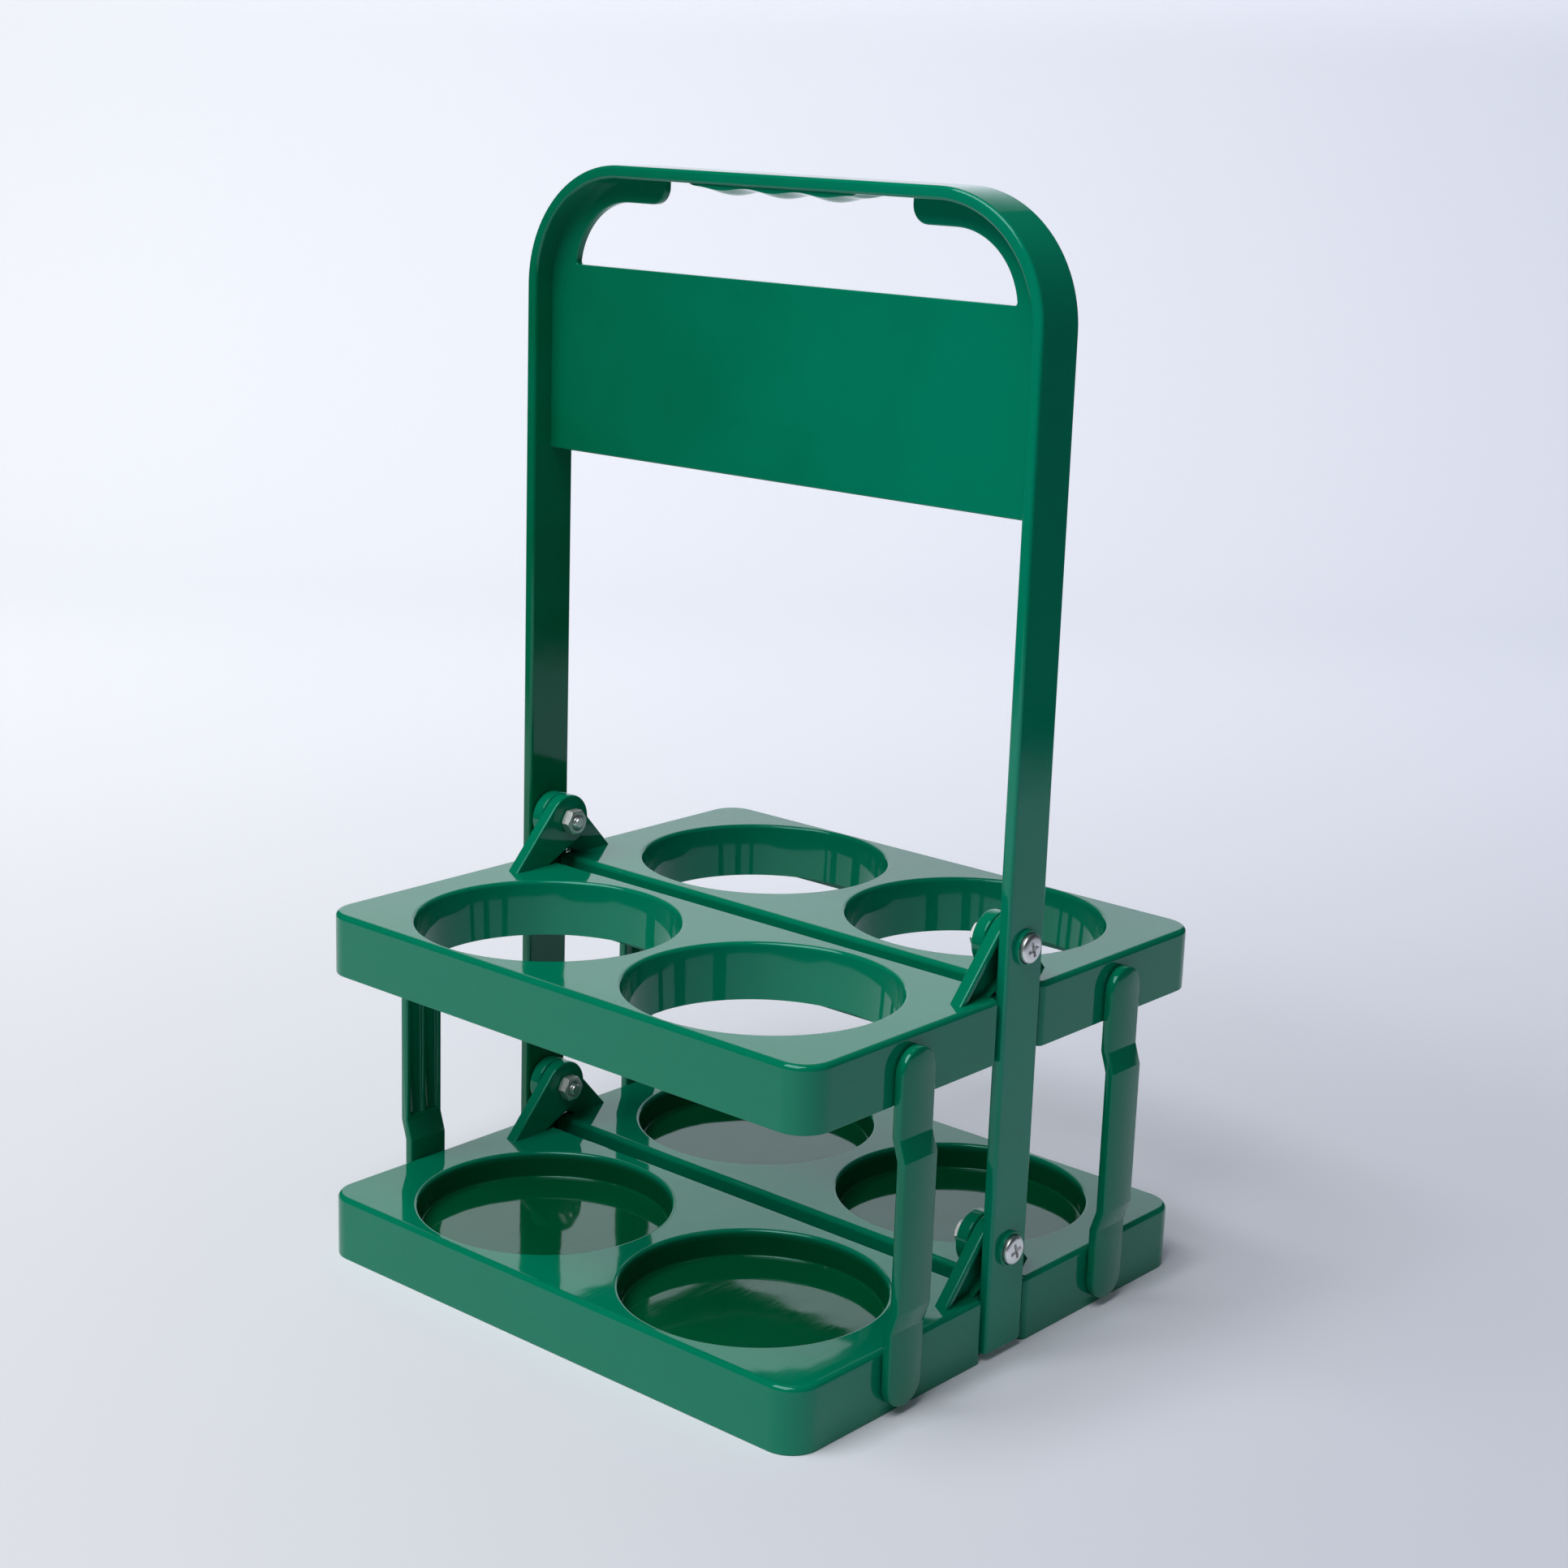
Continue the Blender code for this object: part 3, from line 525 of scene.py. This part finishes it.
# A collar stands round each screw head, with a seat and a bore inside it.
COLLAR_OUTER = 5.0 * MM
COLLAR_INNER = 4.4 * MM
COLLAR_HEIGHT = 1.1 * MM
COLLAR_EDGE = 0.2 * MM
cuts = []
for side in (-1, 1):
    for height in (LOWER_PIVOT, UPPER_PIVOT):
        ring = circle(0, height, COLLAR_OUTER, 64)
        collar = slab(ring, FRAME_OUT - mid_band, FRAME_OUT + COLLAR_HEIGHT, "X")
        soften(collar, COLLAR_EDGE, 3, at_level(0, FRAME_OUT + COLLAR_HEIGHT))
        extras.append(on_side(collar, side))
        seat = slab(circle(0, height, COLLAR_INNER, 64), FRAME_OUT, FRAME_OUT + OVERRUN, "X")
        hole = circle(0, height, SCREW_BORE, 32)
        bore = slab(hole, FRAME_IN - OVERRUN, FRAME_OUT + OVERRUN / 2, "X")
        cuts += [on_side(seat, side), on_side(bore, side)]
carve(handle, merged(extras), "UNION")
carve(handle, merged(cuts), "DIFFERENCE")
finish(handle, frame_plastic)
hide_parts("handle_frame")
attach(handle, "frame")


# Half trays. Each is a shallow moulding with a flat deck, a skirt all round, two
# pockets and two hinge ears. The upper pair has open rings and the lower pair
# closed cups. Front and back halves are the same moulding, turned half round.
TRAY_HALF_WIDTH = 91.1 * MM
TRAY_INNER_EDGE = 3.6 * MM
INNER_WALL = 3.2 * MM
TRAY_OUTER_EDGE = 87.0 * MM
TRAY_CORNER = 9.0 * MM
TRAY_FILLET = 1.6 * MM
TRAY_WALL = 2.2 * MM
TRAY_DECK = 2.5 * MM
UNDER_EDGE = 0.3 * MM
CLOSE_STOP = 8.7 * MM
WIDE_STOP = 10.0 * MM
STOP_CORNER = 2.0 * MM
NOTCH = 88.1 * MM
POCKET_X = 40.7 * MM
POCKET_Y = 46.5 * MM
POCKET_STEPS = 112
RIM_FILLET = 1.2 * MM
RING_DEPTH = 16.4 * MM
RING_DRAFT = math.tan(math.radians(3.8))
RING_WALL = 1.4 * MM
CUP_DEPTH = 8.0 * MM
CUP_TAPER = 0.3 * MM
CUP_FLOOR = 1.3 * MM
CUP_FILLET = 0.8 * MM
PIVOT_RISE = 12.6 * MM
EAR_WIDTH = 4.1 * MM
EAR_WEB = 1.6 * MM
EAR_RIM = 1.6 * MM
EAR_EDGE = 0.6 * MM
EAR_BOSS = 7.8 * MM
EAR_FOOT = 21.9 * MM
EAR_ROOT = 8.3 * MM
EAR_SINK = 2.0 * MM
HUB_RADIUS = 4.0 * MM
HUB_EDGE = 0.2 * MM
INNER_EAR_FACE = 83.6 * MM
OUTER_EAR_FACE = 88.0 * MM
PEG_DROP = 22.5 * MM
PEG_HOLE = 2.8 * MM
SKIRT_CUT = (80 * MM, 95 * MM)
EAR_CUT = (77 * MM, 90 * MM)


def tray_outline(inset):
    """Plan of the back half tray."""
    side, notch = TRAY_HALF_WIDTH - inset, NOTCH - inset
    near, far = TRAY_INNER_EDGE + (INNER_WALL if inset else 0), TRAY_OUTER_EDGE - inset
    corner = TRAY_CORNER - inset
    stop = 0 if inset else STOP_CORNER
    return rounded([
        (side, far, corner), (-side, far, corner),
        (-side, CLOSE_STOP + inset, stop), (-notch, CLOSE_STOP + inset, 0),
        (-notch, near, stop), (notch, near, stop),
        (notch, WIDE_STOP + inset, 0), (side, WIDE_STOP + inset, stop),
    ], 10)


def turned(profile, steps):
    """Solid of revolution about Z from (radius, height) points that end on the axis."""
    shape = bmesh.new()
    line = [shape.verts.new((radius, 0, height)) for radius, height in profile]
    edges = [shape.edges.new(pair) for pair in zip(line, line[1:])]
    bmesh.ops.spin(
        shape, geom=line + edges, cent=(0, 0, 0), axis=(0, 0, 1), angle=2 * math.pi,
        steps=steps, use_merge=True,
    )
    bmesh.ops.remove_doubles(shape, verts=shape.verts, dist=3 * SEAM)
    bmesh.ops.recalc_face_normals(shape, faces=shape.faces)
    return shape


def ear_outline(inset, floor):
    """Side of a hinge ear, with the pivot at zero and Y outwards."""
    slope = math.atan2(PIVOT_RISE, EAR_FOOT)
    slope += math.asin(EAR_BOSS / math.hypot(EAR_FOOT, PIVOT_RISE))
    boss = EAR_BOSS - inset
    foot = EAR_FOOT - inset / math.sin(slope)
    root = EAR_ROOT + inset
    root_start = math.atan2(-PIVOT_RISE, root) + 2 * math.pi
    root_start -= math.acos(boss / math.hypot(root, PIVOT_RISE))
    points = [(foot, -PIVOT_RISE)] + arc(0, 0, boss, math.pi / 2 - slope, root_start, 28)
    return points + [(root, -PIVOT_RISE), (root, floor), (foot, floor)]


def ear(side, outer_face, pivot):
    """A web with a rim round its slope and boss, open outwards, and a hub round the screw."""
    web_face = outer_face - EAR_WIDTH
    body = slab(ear_outline(0, -PIVOT_RISE - EAR_SINK), web_face, outer_face, "X")
    soften(body, EAR_EDGE, 3, lambda edge: abs(edge.verts[0].co.x - edge.verts[1].co.x) < SEAM)
    piece = as_piece(body, "ear")
    hollow = ear_outline(EAR_RIM, -PIVOT_RISE - EAR_SINK / 2)
    carve(piece, slab(hollow, web_face + EAR_WEB, outer_face + OVERRUN, "X"), "DIFFERENCE")
    hub = slab(circle(0, 0, HUB_RADIUS, 40), web_face + EAR_WEB / 2, outer_face, "X")
    soften(hub, HUB_EDGE, 2, at_level(0, outer_face))
    carve(piece, hub, "UNION")
    shape = bmesh.new()
    shape.from_mesh(piece.data)
    bpy.data.objects.remove(piece, do_unlink=True)
    bmesh.ops.translate(shape, verts=shape.verts, vec=(0, 0, pivot))
    return on_side(shape, side)


def half_tray(name, bottom, top, rim, has_floor):
    """The back half tray, in place."""
    pivot = top + PIVOT_RISE
    block = slab(tray_outline(0), bottom, top)
    soften(block, TRAY_FILLET, 6, at_level(2, top))
    soften(block, UNDER_EDGE, 2, at_level(2, bottom))
    tray = as_piece(block, name)
    carve(tray, slab(tray_outline(TRAY_WALL), bottom - OVERRUN, top - TRAY_DECK), "DIFFERENCE")
    wall_foot = top - (CUP_DEPTH + CUP_FLOOR if has_floor else RING_DEPTH)
    wall_radius = rim + (TRAY_WALL if has_floor else RING_WALL)
    walls = []
    for side in (-1, 1):
        outline = circle(side * POCKET_X, POCKET_Y, wall_radius, POCKET_STEPS)
        wall = slab(outline, wall_foot, top - TRAY_DECK / 2)
        soften(wall, UNDER_EDGE, 2, at_level(2, wall_foot))
        walls.append(wall)
    carve(tray, merged(walls), "UNION")
    ears = [ear(1, INNER_EAR_FACE, pivot), ear(-1, OUTER_EAR_FACE, pivot)]
    carve(tray, merged(ears), "UNION")

    # A pocket has a rounded lip at the deck, which runs on past it to cut cleanly.
    lip = arc(rim + RIM_FILLET, top - RIM_FILLET, RIM_FILLET, math.pi, math.pi / 2, 5)
    past = Vector(lip[-1]) * 2 - Vector(lip[-2])
    lip[-1] = (past.x, past.y)
    if has_floor:
        low = top - CUP_DEPTH
        inner = rim - CUP_TAPER - CUP_FILLET
        wall = arc(inner, low + CUP_FILLET, CUP_FILLET, -math.pi / 2, 0, 4)
    else:
        low = bottom - OVERRUN
        wall = [(rim - RING_DRAFT * (top - RIM_FILLET - low), low)]
    profile = [(0, low)] + wall + lip + [(past.x, top + OVERRUN), (0, top + OVERRUN)]
    cuts = []
    for side in (-1, 1):
        pocket = turned(profile, POCKET_STEPS)
        bmesh.ops.translate(pocket, verts=pocket.verts, vec=(side * POCKET_X, POCKET_Y, 0))
        peg_hole = slab(circle(POCKET_Y, pivot - PEG_DROP, PEG_HOLE, 32), *SKIRT_CUT, "X")
        bore = slab(circle(0, pivot, SCREW_BORE, 32), *EAR_CUT, "X")
        cuts += [pocket, on_side(peg_hole, side), on_side(bore, side)]
    carve(tray, merged(cuts), "DIFFERENCE")
    return tray


def paint_cup_shade(material, tone, rim, rim_level):
    """A darker green painted on cup walls and floors as painted shade, where the upper trays keep
    the light out.
    """
    tree = material.node_tree
    colour = tree.nodes["Principled BSDF"].inputs["Base Color"]
    deck_colour = colour.links[0].from_socket
    place = add_node(tree, "ShaderNodeTexCoord", {}, {}).outputs["Object"]
    folded = add_node(tree, "ShaderNodeVectorMath", {"operation": "ABSOLUTE"}, {0: place})
    across = add_node(tree, "ShaderNodeVectorMath", {"operation": "MULTIPLY_ADD"}, {
        0: folded.outputs["Vector"], 1: (1, 1, 0), 2: (-POCKET_X, -POCKET_Y, 0),
    })
    reach = add_node(tree, "ShaderNodeVectorMath", {"operation": "LENGTH"}, {
        0: across.outputs["Vector"],
    })
    level = add_node(tree, "ShaderNodeSeparateXYZ", {}, {0: place})
    inside, below = [
        add_node(tree, "ShaderNodeMapRange", {}, {
            "Value": value, "From Min": start, "From Max": end, "To Min": 1, "To Max": 0,
        }).outputs["Result"]
        for value, start, end in (
            (reach.outputs["Value"], rim + 0.4 * MM, rim + 1.4 * MM),
            (level.outputs["Z"], rim_level - 2.4 * MM, rim_level - 0.4 * MM),
        )
    ]
    # Painted shade mask: one inside each cup and below its rim, where the darker tone takes over.
    thin = add_node(tree, "ShaderNodeMath", {"operation": "MULTIPLY"}, {0: inside, 1: below})
    mixed = add_node(tree, "ShaderNodeMix", {"data_type": "RGBA"}, {
        "Factor": thin.outputs["Value"], "A": deck_colour, "B": linear(tone),
    })
    tree.links.new(mixed.outputs["Result"], colour)


def turned_copy(piece, name, turn):
    """The same moulding turned about the vertical, with its place in its mesh."""
    mesh = piece.data.copy()
    mesh.transform(Matrix.Rotation(turn, 4, "Z"))
    mesh.name = name
    twin = bpy.data.objects.new(name, mesh)
    bpy.context.scene.collection.objects.link(twin)
    return twin


LOWER_DECK = 18.9 * MM
UPPER_DECK = 105.0 * MM
UPPER_SKIRT = 86.7 * MM
CUP_RIM = 37.0 * MM
RING_RIM = 37.7 * MM
tray_plastic = moulded_plastic("glossy_green_polypropylene_tray", "#008261", "#007E5B")
# Painted shade: the lower cups' walls and floors get a darker green, where the upper trays shade
# them.
paint_cup_shade(tray_plastic, "#005A35", CUP_RIM, LOWER_DECK)
for level, bottom, top, rim in (
    ("lower", 0, LOWER_DECK, CUP_RIM), ("upper", UPPER_SKIRT, UPPER_DECK, RING_RIM),
):
    back = half_tray(level + "_back_tray_moulding", bottom, top, rim, level == "lower")
    finish(back, tray_plastic)
    front = turned_copy(back, level + "_front_tray_moulding", math.pi)
    for depth, piece in (("back", back), ("front", front)):
        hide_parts(f"{level}_{depth}_tray")
        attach(piece, f"{level}_{depth}_half")


# Tie straps. Four narrow mouldings, one at each corner, that keep the upper half
# trays level with the lower ones. Each is bowed outwards between two jogs and
# snaps into the skirts with a split peg at either end.
STRAP_WIDTH = 13.6 * MM
STRAP_THICKNESS = 2.9 * MM
STRAP_BOW = 1.9 * MM
STRAP_INNER = 91.4 * MM
STRAP_LENGTH = 86.1 * MM
STRAP_EDGE = 0.5 * MM
LOW_JOG = 15.5 * MM
HIGH_JOG = STRAP_LENGTH - 16.8 * MM
JOG_RUN = 6.0 * MM
JOG_CORNER = 1.2 * MM
CHANNEL_WALL = 1.6 * MM
CHANNEL_DEPTH = 1.2 * MM
RIB_HALF = 0.7 * MM
strap_plastic = moulded_plastic("glossy_green_polypropylene_strap", "#007C5A", "#007854")
half = STRAP_WIDTH / 2
bow_foot, bow_head = LOW_JOG + JOG_RUN, HIGH_JOG - JOG_RUN
inner = [
    (0, -half, 0), (0, LOW_JOG, JOG_CORNER), (STRAP_BOW, bow_foot, JOG_CORNER),
    (STRAP_BOW, bow_head, JOG_CORNER), (0, HIGH_JOG, JOG_CORNER), (0, STRAP_LENGTH + half, 0),
]
outer = [(u + STRAP_THICKNESS, v, radius) for u, v, radius in reversed(inner)]
strap = as_piece(slab(rounded(inner + outer, 3), -half, half, "Y"), "back_right_strap_moulding")
stadium = arc(0, 0, half, math.pi, 2 * math.pi, 24) + arc(0, STRAP_LENGTH, half, 0, math.pi, 24)
carve(strap, slab(stadium, -OVERRUN, 4 * OVERRUN, "X"), "INTERSECT")
channels = []
for side in (-1, 1):
    near, far = sorted((side * RIB_HALF, side * (half - CHANNEL_WALL)))
    foot, head = bow_foot + CHANNEL_WALL, bow_head - CHANNEL_WALL
    outline = [(near, foot), (far, foot), (far, head), (near, head)]
    channels.append(slab(outline, STRAP_BOW - OVERRUN, STRAP_BOW + CHANNEL_DEPTH, "X"))
carve(strap, merged(channels), "DIFFERENCE")
strap.data.transform(Matrix.Translation((STRAP_INNER, POCKET_Y, LOWER_PIVOT - PEG_DROP)))
finish(strap, strap_plastic, STRAP_EDGE)

# The pegs: a round root sunk in the strap, a neck in the skirt's hole, and a lip
# with a slit through it that springs open behind the skirt.
PEG_ROOT = 1.4 * MM
PEG_NECK = 2.8 * MM
PEG_RADIUS = 2.5 * MM
PEG_LIP = 3.3 * MM
PEG_TIP = PEG_NECK + 2 * MM
PEG_EDGE = 0.12 * MM
SLIT_HALF = 0.4 * MM
SLIT_FLOOR = 0.3 * MM
profile = [
    (0, -PEG_ROOT), (PEG_RADIUS, -PEG_ROOT), (PEG_RADIUS, PEG_NECK),
    (PEG_LIP, PEG_NECK + 0.1 * MM), (PEG_LIP, PEG_NECK + 0.5 * MM),
    (PEG_RADIUS, PEG_TIP), (0, PEG_TIP),
]
slit = [
    (-STRAP_WIDTH, -SLIT_HALF), (STRAP_WIDTH, -SLIT_HALF),
    (STRAP_WIDTH, SLIT_HALF), (-STRAP_WIDTH, SLIT_HALF),
]
whole = bmesh.new()
whole.from_mesh(strap.data)
for height in (LOWER_PIVOT - PEG_DROP, UPPER_PIVOT - PEG_DROP):
    peg = as_piece(turned(profile, 32), "peg")
    carve(peg, slab(slit, SLIT_FLOOR, PEG_TIP + OVERRUN), "DIFFERENCE")
    inwards = Matrix.Rotation(-math.pi / 2, 4, "Y")
    peg.data.transform(Matrix.Translation((STRAP_INNER, POCKET_Y, height)) @ inwards)
    finish(peg, strap_plastic, PEG_EDGE)
    whole.from_mesh(peg.data)
    bpy.data.objects.remove(peg, do_unlink=True)
whole.to_mesh(strap.data)
whole.free()
strap.data.shade_smooth()
strap.data.set_sharp_from_angle(angle=SHARP_ANGLE)
straps = {"back_right": strap}
for corner, turn, shift in (
    ("front_left", math.pi, 0),
    ("front_right", 0, -2 * POCKET_Y),
    ("back_left", math.pi, 2 * POCKET_Y),
):
    twin = turned_copy(strap, corner + "_strap_moulding", turn)
    twin.data.transform(Matrix.Translation((0, shift, 0)))
    straps[corner] = twin
for corner, piece in straps.items():
    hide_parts(corner + "_strap")
    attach(piece, corner + "_tie")


# Screws. Four pan head M4 screws of zinc-plated steel pass through the uprights
# and both ears. Each has a cross recess and a rolled thread of 0.7 mm pitch.
SCREW_SEAT = 92.3 * MM
SCREW_TIP = 75.0 * MM
SHANK_RADIUS = 2.0 * MM
TIP_RADIUS = 1.4 * MM
THREAD_ROOT = 1.55 * MM
THREAD_CREST = 1.95 * MM
THREAD_PITCH = 0.7 * MM
THREAD_TURNS = 14
THREAD_FLANKS = (
    (THREAD_ROOT, 0), (THREAD_CREST, 0.3 * MM), (THREAD_CREST, 0.38 * MM), (THREAD_ROOT, 0.65 * MM),
)
HEAD_RADIUS = 4.1 * MM
HEAD_HEIGHT = 2.4 * MM
HEAD_EDGE = 0.15 * MM
DOME_RISE = 1.0 * MM
DOME_ROUND = 1.4 * MM
DOME_SHARE = 0.93
DOME_STEPS = 9
CROWN_RADIUS = 1.6 * MM
CROWN_DROP = 0.03 * MM
RECESS_DEPTH = 1.1 * MM
RECESS_ARM = 2.5 * MM
RECESS_HALF = 0.62 * MM
RECESS_TAPER = 0.6
RECESS_TURN = 0.35
STEEL_EDGE = 0.08 * MM


def plated_steel(name, colour, roughness):
    """Bright zinc plate: silvery, with soft clouds where the bath left it thicker."""
    material = bpy.data.materials.new(name)
    material.use_nodes = True
    tree = material.node_tree
    shader = tree.nodes["Principled BSDF"]
    shader.inputs["Metallic"].default_value = 1
    place = add_node(tree, "ShaderNodeTexCoord", {}, {}).outputs["Object"]
    cloud = add_node(tree, "ShaderNodeTexNoise", {}, {
        "Vector": place, "Scale": 1 / (1.5 * MM), "Detail": 3.0,
    })
    tone = add_node(tree, "ShaderNodeMix", {"data_type": "RGBA"}, {
        "Factor": cloud.outputs["Fac"], "A": linear(colour), "B": linear("#F4F4F2"),
    })
    tree.links.new(tone.outputs["Result"], shader.inputs["Base Color"])
    gloss = add_node(tree, "ShaderNodeMapRange", {}, {
        "Value": cloud.outputs["Fac"], "To Min": roughness - 0.06, "To Max": roughness + 0.08,
    })
    tree.links.new(gloss.outputs["Result"], shader.inputs["Roughness"])
    return material


screw_steel = plated_steel("zinc_plated_screw_steel", "#EEF0F0", 0.36)
length = SCREW_SEAT - SCREW_TIP
head_top = length + HEAD_HEIGHT
profile = [(0, 0), (TIP_RADIUS, 0)]
for turn in range(THREAD_TURNS):
    height = (turn + 0.5) * THREAD_PITCH
    profile += [(radius, height + rise) for radius, rise in THREAD_FLANKS]
profile += [
    (SHANK_RADIUS, height + THREAD_PITCH + 0.3 * MM), (SHANK_RADIUS, length),
    (HEAD_RADIUS - HEAD_EDGE, length), (HEAD_RADIUS, length + HEAD_EDGE),
]
for step in range(DOME_STEPS):
    swing = math.pi / 2 * step / DOME_STEPS
    profile.append((
        HEAD_RADIUS - DOME_ROUND + DOME_ROUND * math.cos(swing),
        head_top - DOME_RISE + DOME_RISE * DOME_SHARE * math.sin(swing),
    ))
profile += [(CROWN_RADIUS, head_top - CROWN_DROP), (0, head_top)]
screw = as_piece(turned(profile, 48), "lower_right_screw_turned")
arm, half = RECESS_ARM, RECESS_HALF
cross = [
    (arm, -half), (arm, half), (half, half), (half, arm), (-half, arm), (-half, half),
    (-arm, half), (-arm, -half), (-half, -half), (-half, -arm), (half, -arm), (half, -half),
]
recess = slab(cross, head_top - RECESS_DEPTH, head_top + 0.2 * MM)
for vert in recess.verts:
    if vert.co.z < head_top:
        vert.co.xy *= RECESS_TAPER
bmesh.ops.rotate(recess, verts=recess.verts, matrix=Matrix.Rotation(RECESS_TURN, 3, "Z"))
carve(screw, recess, "DIFFERENCE")
screw.data.transform(Matrix.Translation((SCREW_TIP, 0, 0)) @ Matrix.Rotation(math.pi / 2, 4, "Y"))
finish(screw, screw_steel, STEEL_EDGE)


# Nuts. Four hexagon M4 nuts of the same plated steel, 7 mm across their flats,
# bear on the inner ears, with both faces turned off to a round crown.
NUT_SEAT = 79.2 * MM
NUT_THICKNESS = 3.2 * MM
NUT_FLATS = 7.0 * MM
NUT_FACE = 3.45 * MM
NUT_CHAMFER = 0.35 * MM
NUT_BORE = 2.1 * MM
NUT_SINK = 2.6 * MM
NUT_SINK_DEPTH = 0.5 * MM
nut_steel = plated_steel("zinc_plated_nut_steel", "#F2F4F4", 0.5)
corner = NUT_FLATS / math.sqrt(3)
nut = as_piece(slab(circle(0, 0, corner, 6), -NUT_THICKNESS, 0), "lower_right_nut_pressed")
crown = [
    (0, -NUT_THICKNESS), (NUT_FACE, -NUT_THICKNESS), (corner, NUT_CHAMFER - NUT_THICKNESS),
    (corner, -NUT_CHAMFER), (NUT_FACE, 0), (0, 0),
]
carve(nut, turned(crown, 60), "INTERSECT")
bore = [
    (0, -NUT_THICKNESS - OVERRUN), (NUT_SINK, -NUT_THICKNESS - OVERRUN),
    (NUT_SINK, -NUT_THICKNESS), (NUT_BORE, NUT_SINK_DEPTH - NUT_THICKNESS),
    (NUT_BORE, -NUT_SINK_DEPTH), (NUT_SINK, 0), (NUT_SINK, OVERRUN), (0, OVERRUN),
]
carve(nut, turned(bore, 40), "DIFFERENCE")
nut.data.transform(
    Matrix.Translation((NUT_SEAT, 0, 0)) @ Matrix.Rotation(math.pi / 6, 4, "X")
    @ Matrix.Rotation(math.pi / 2, 4, "Y")
)
finish(nut, nut_steel, STEEL_EDGE)

# Each of the four pivots takes a screw and a nut.
for level, height in (("lower", LOWER_PIVOT), ("upper", UPPER_PIVOT)):
    for hand, turn in (("right", 0), ("left", math.pi)):
        for source, kind, ending in ((screw, "screw", "turned"), (nut, "nut", "pressed")):
            twin = turned_copy(source, f"{level}_{hand}_{kind}_{ending}", turn)
            twin.data.transform(Matrix.Translation((0, 0, height)))
            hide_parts(f"{level}_{hand}_{kind}")
            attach(twin, "frame")
for source in (screw, nut):
    bpy.data.objects.remove(source, do_unlink=True)
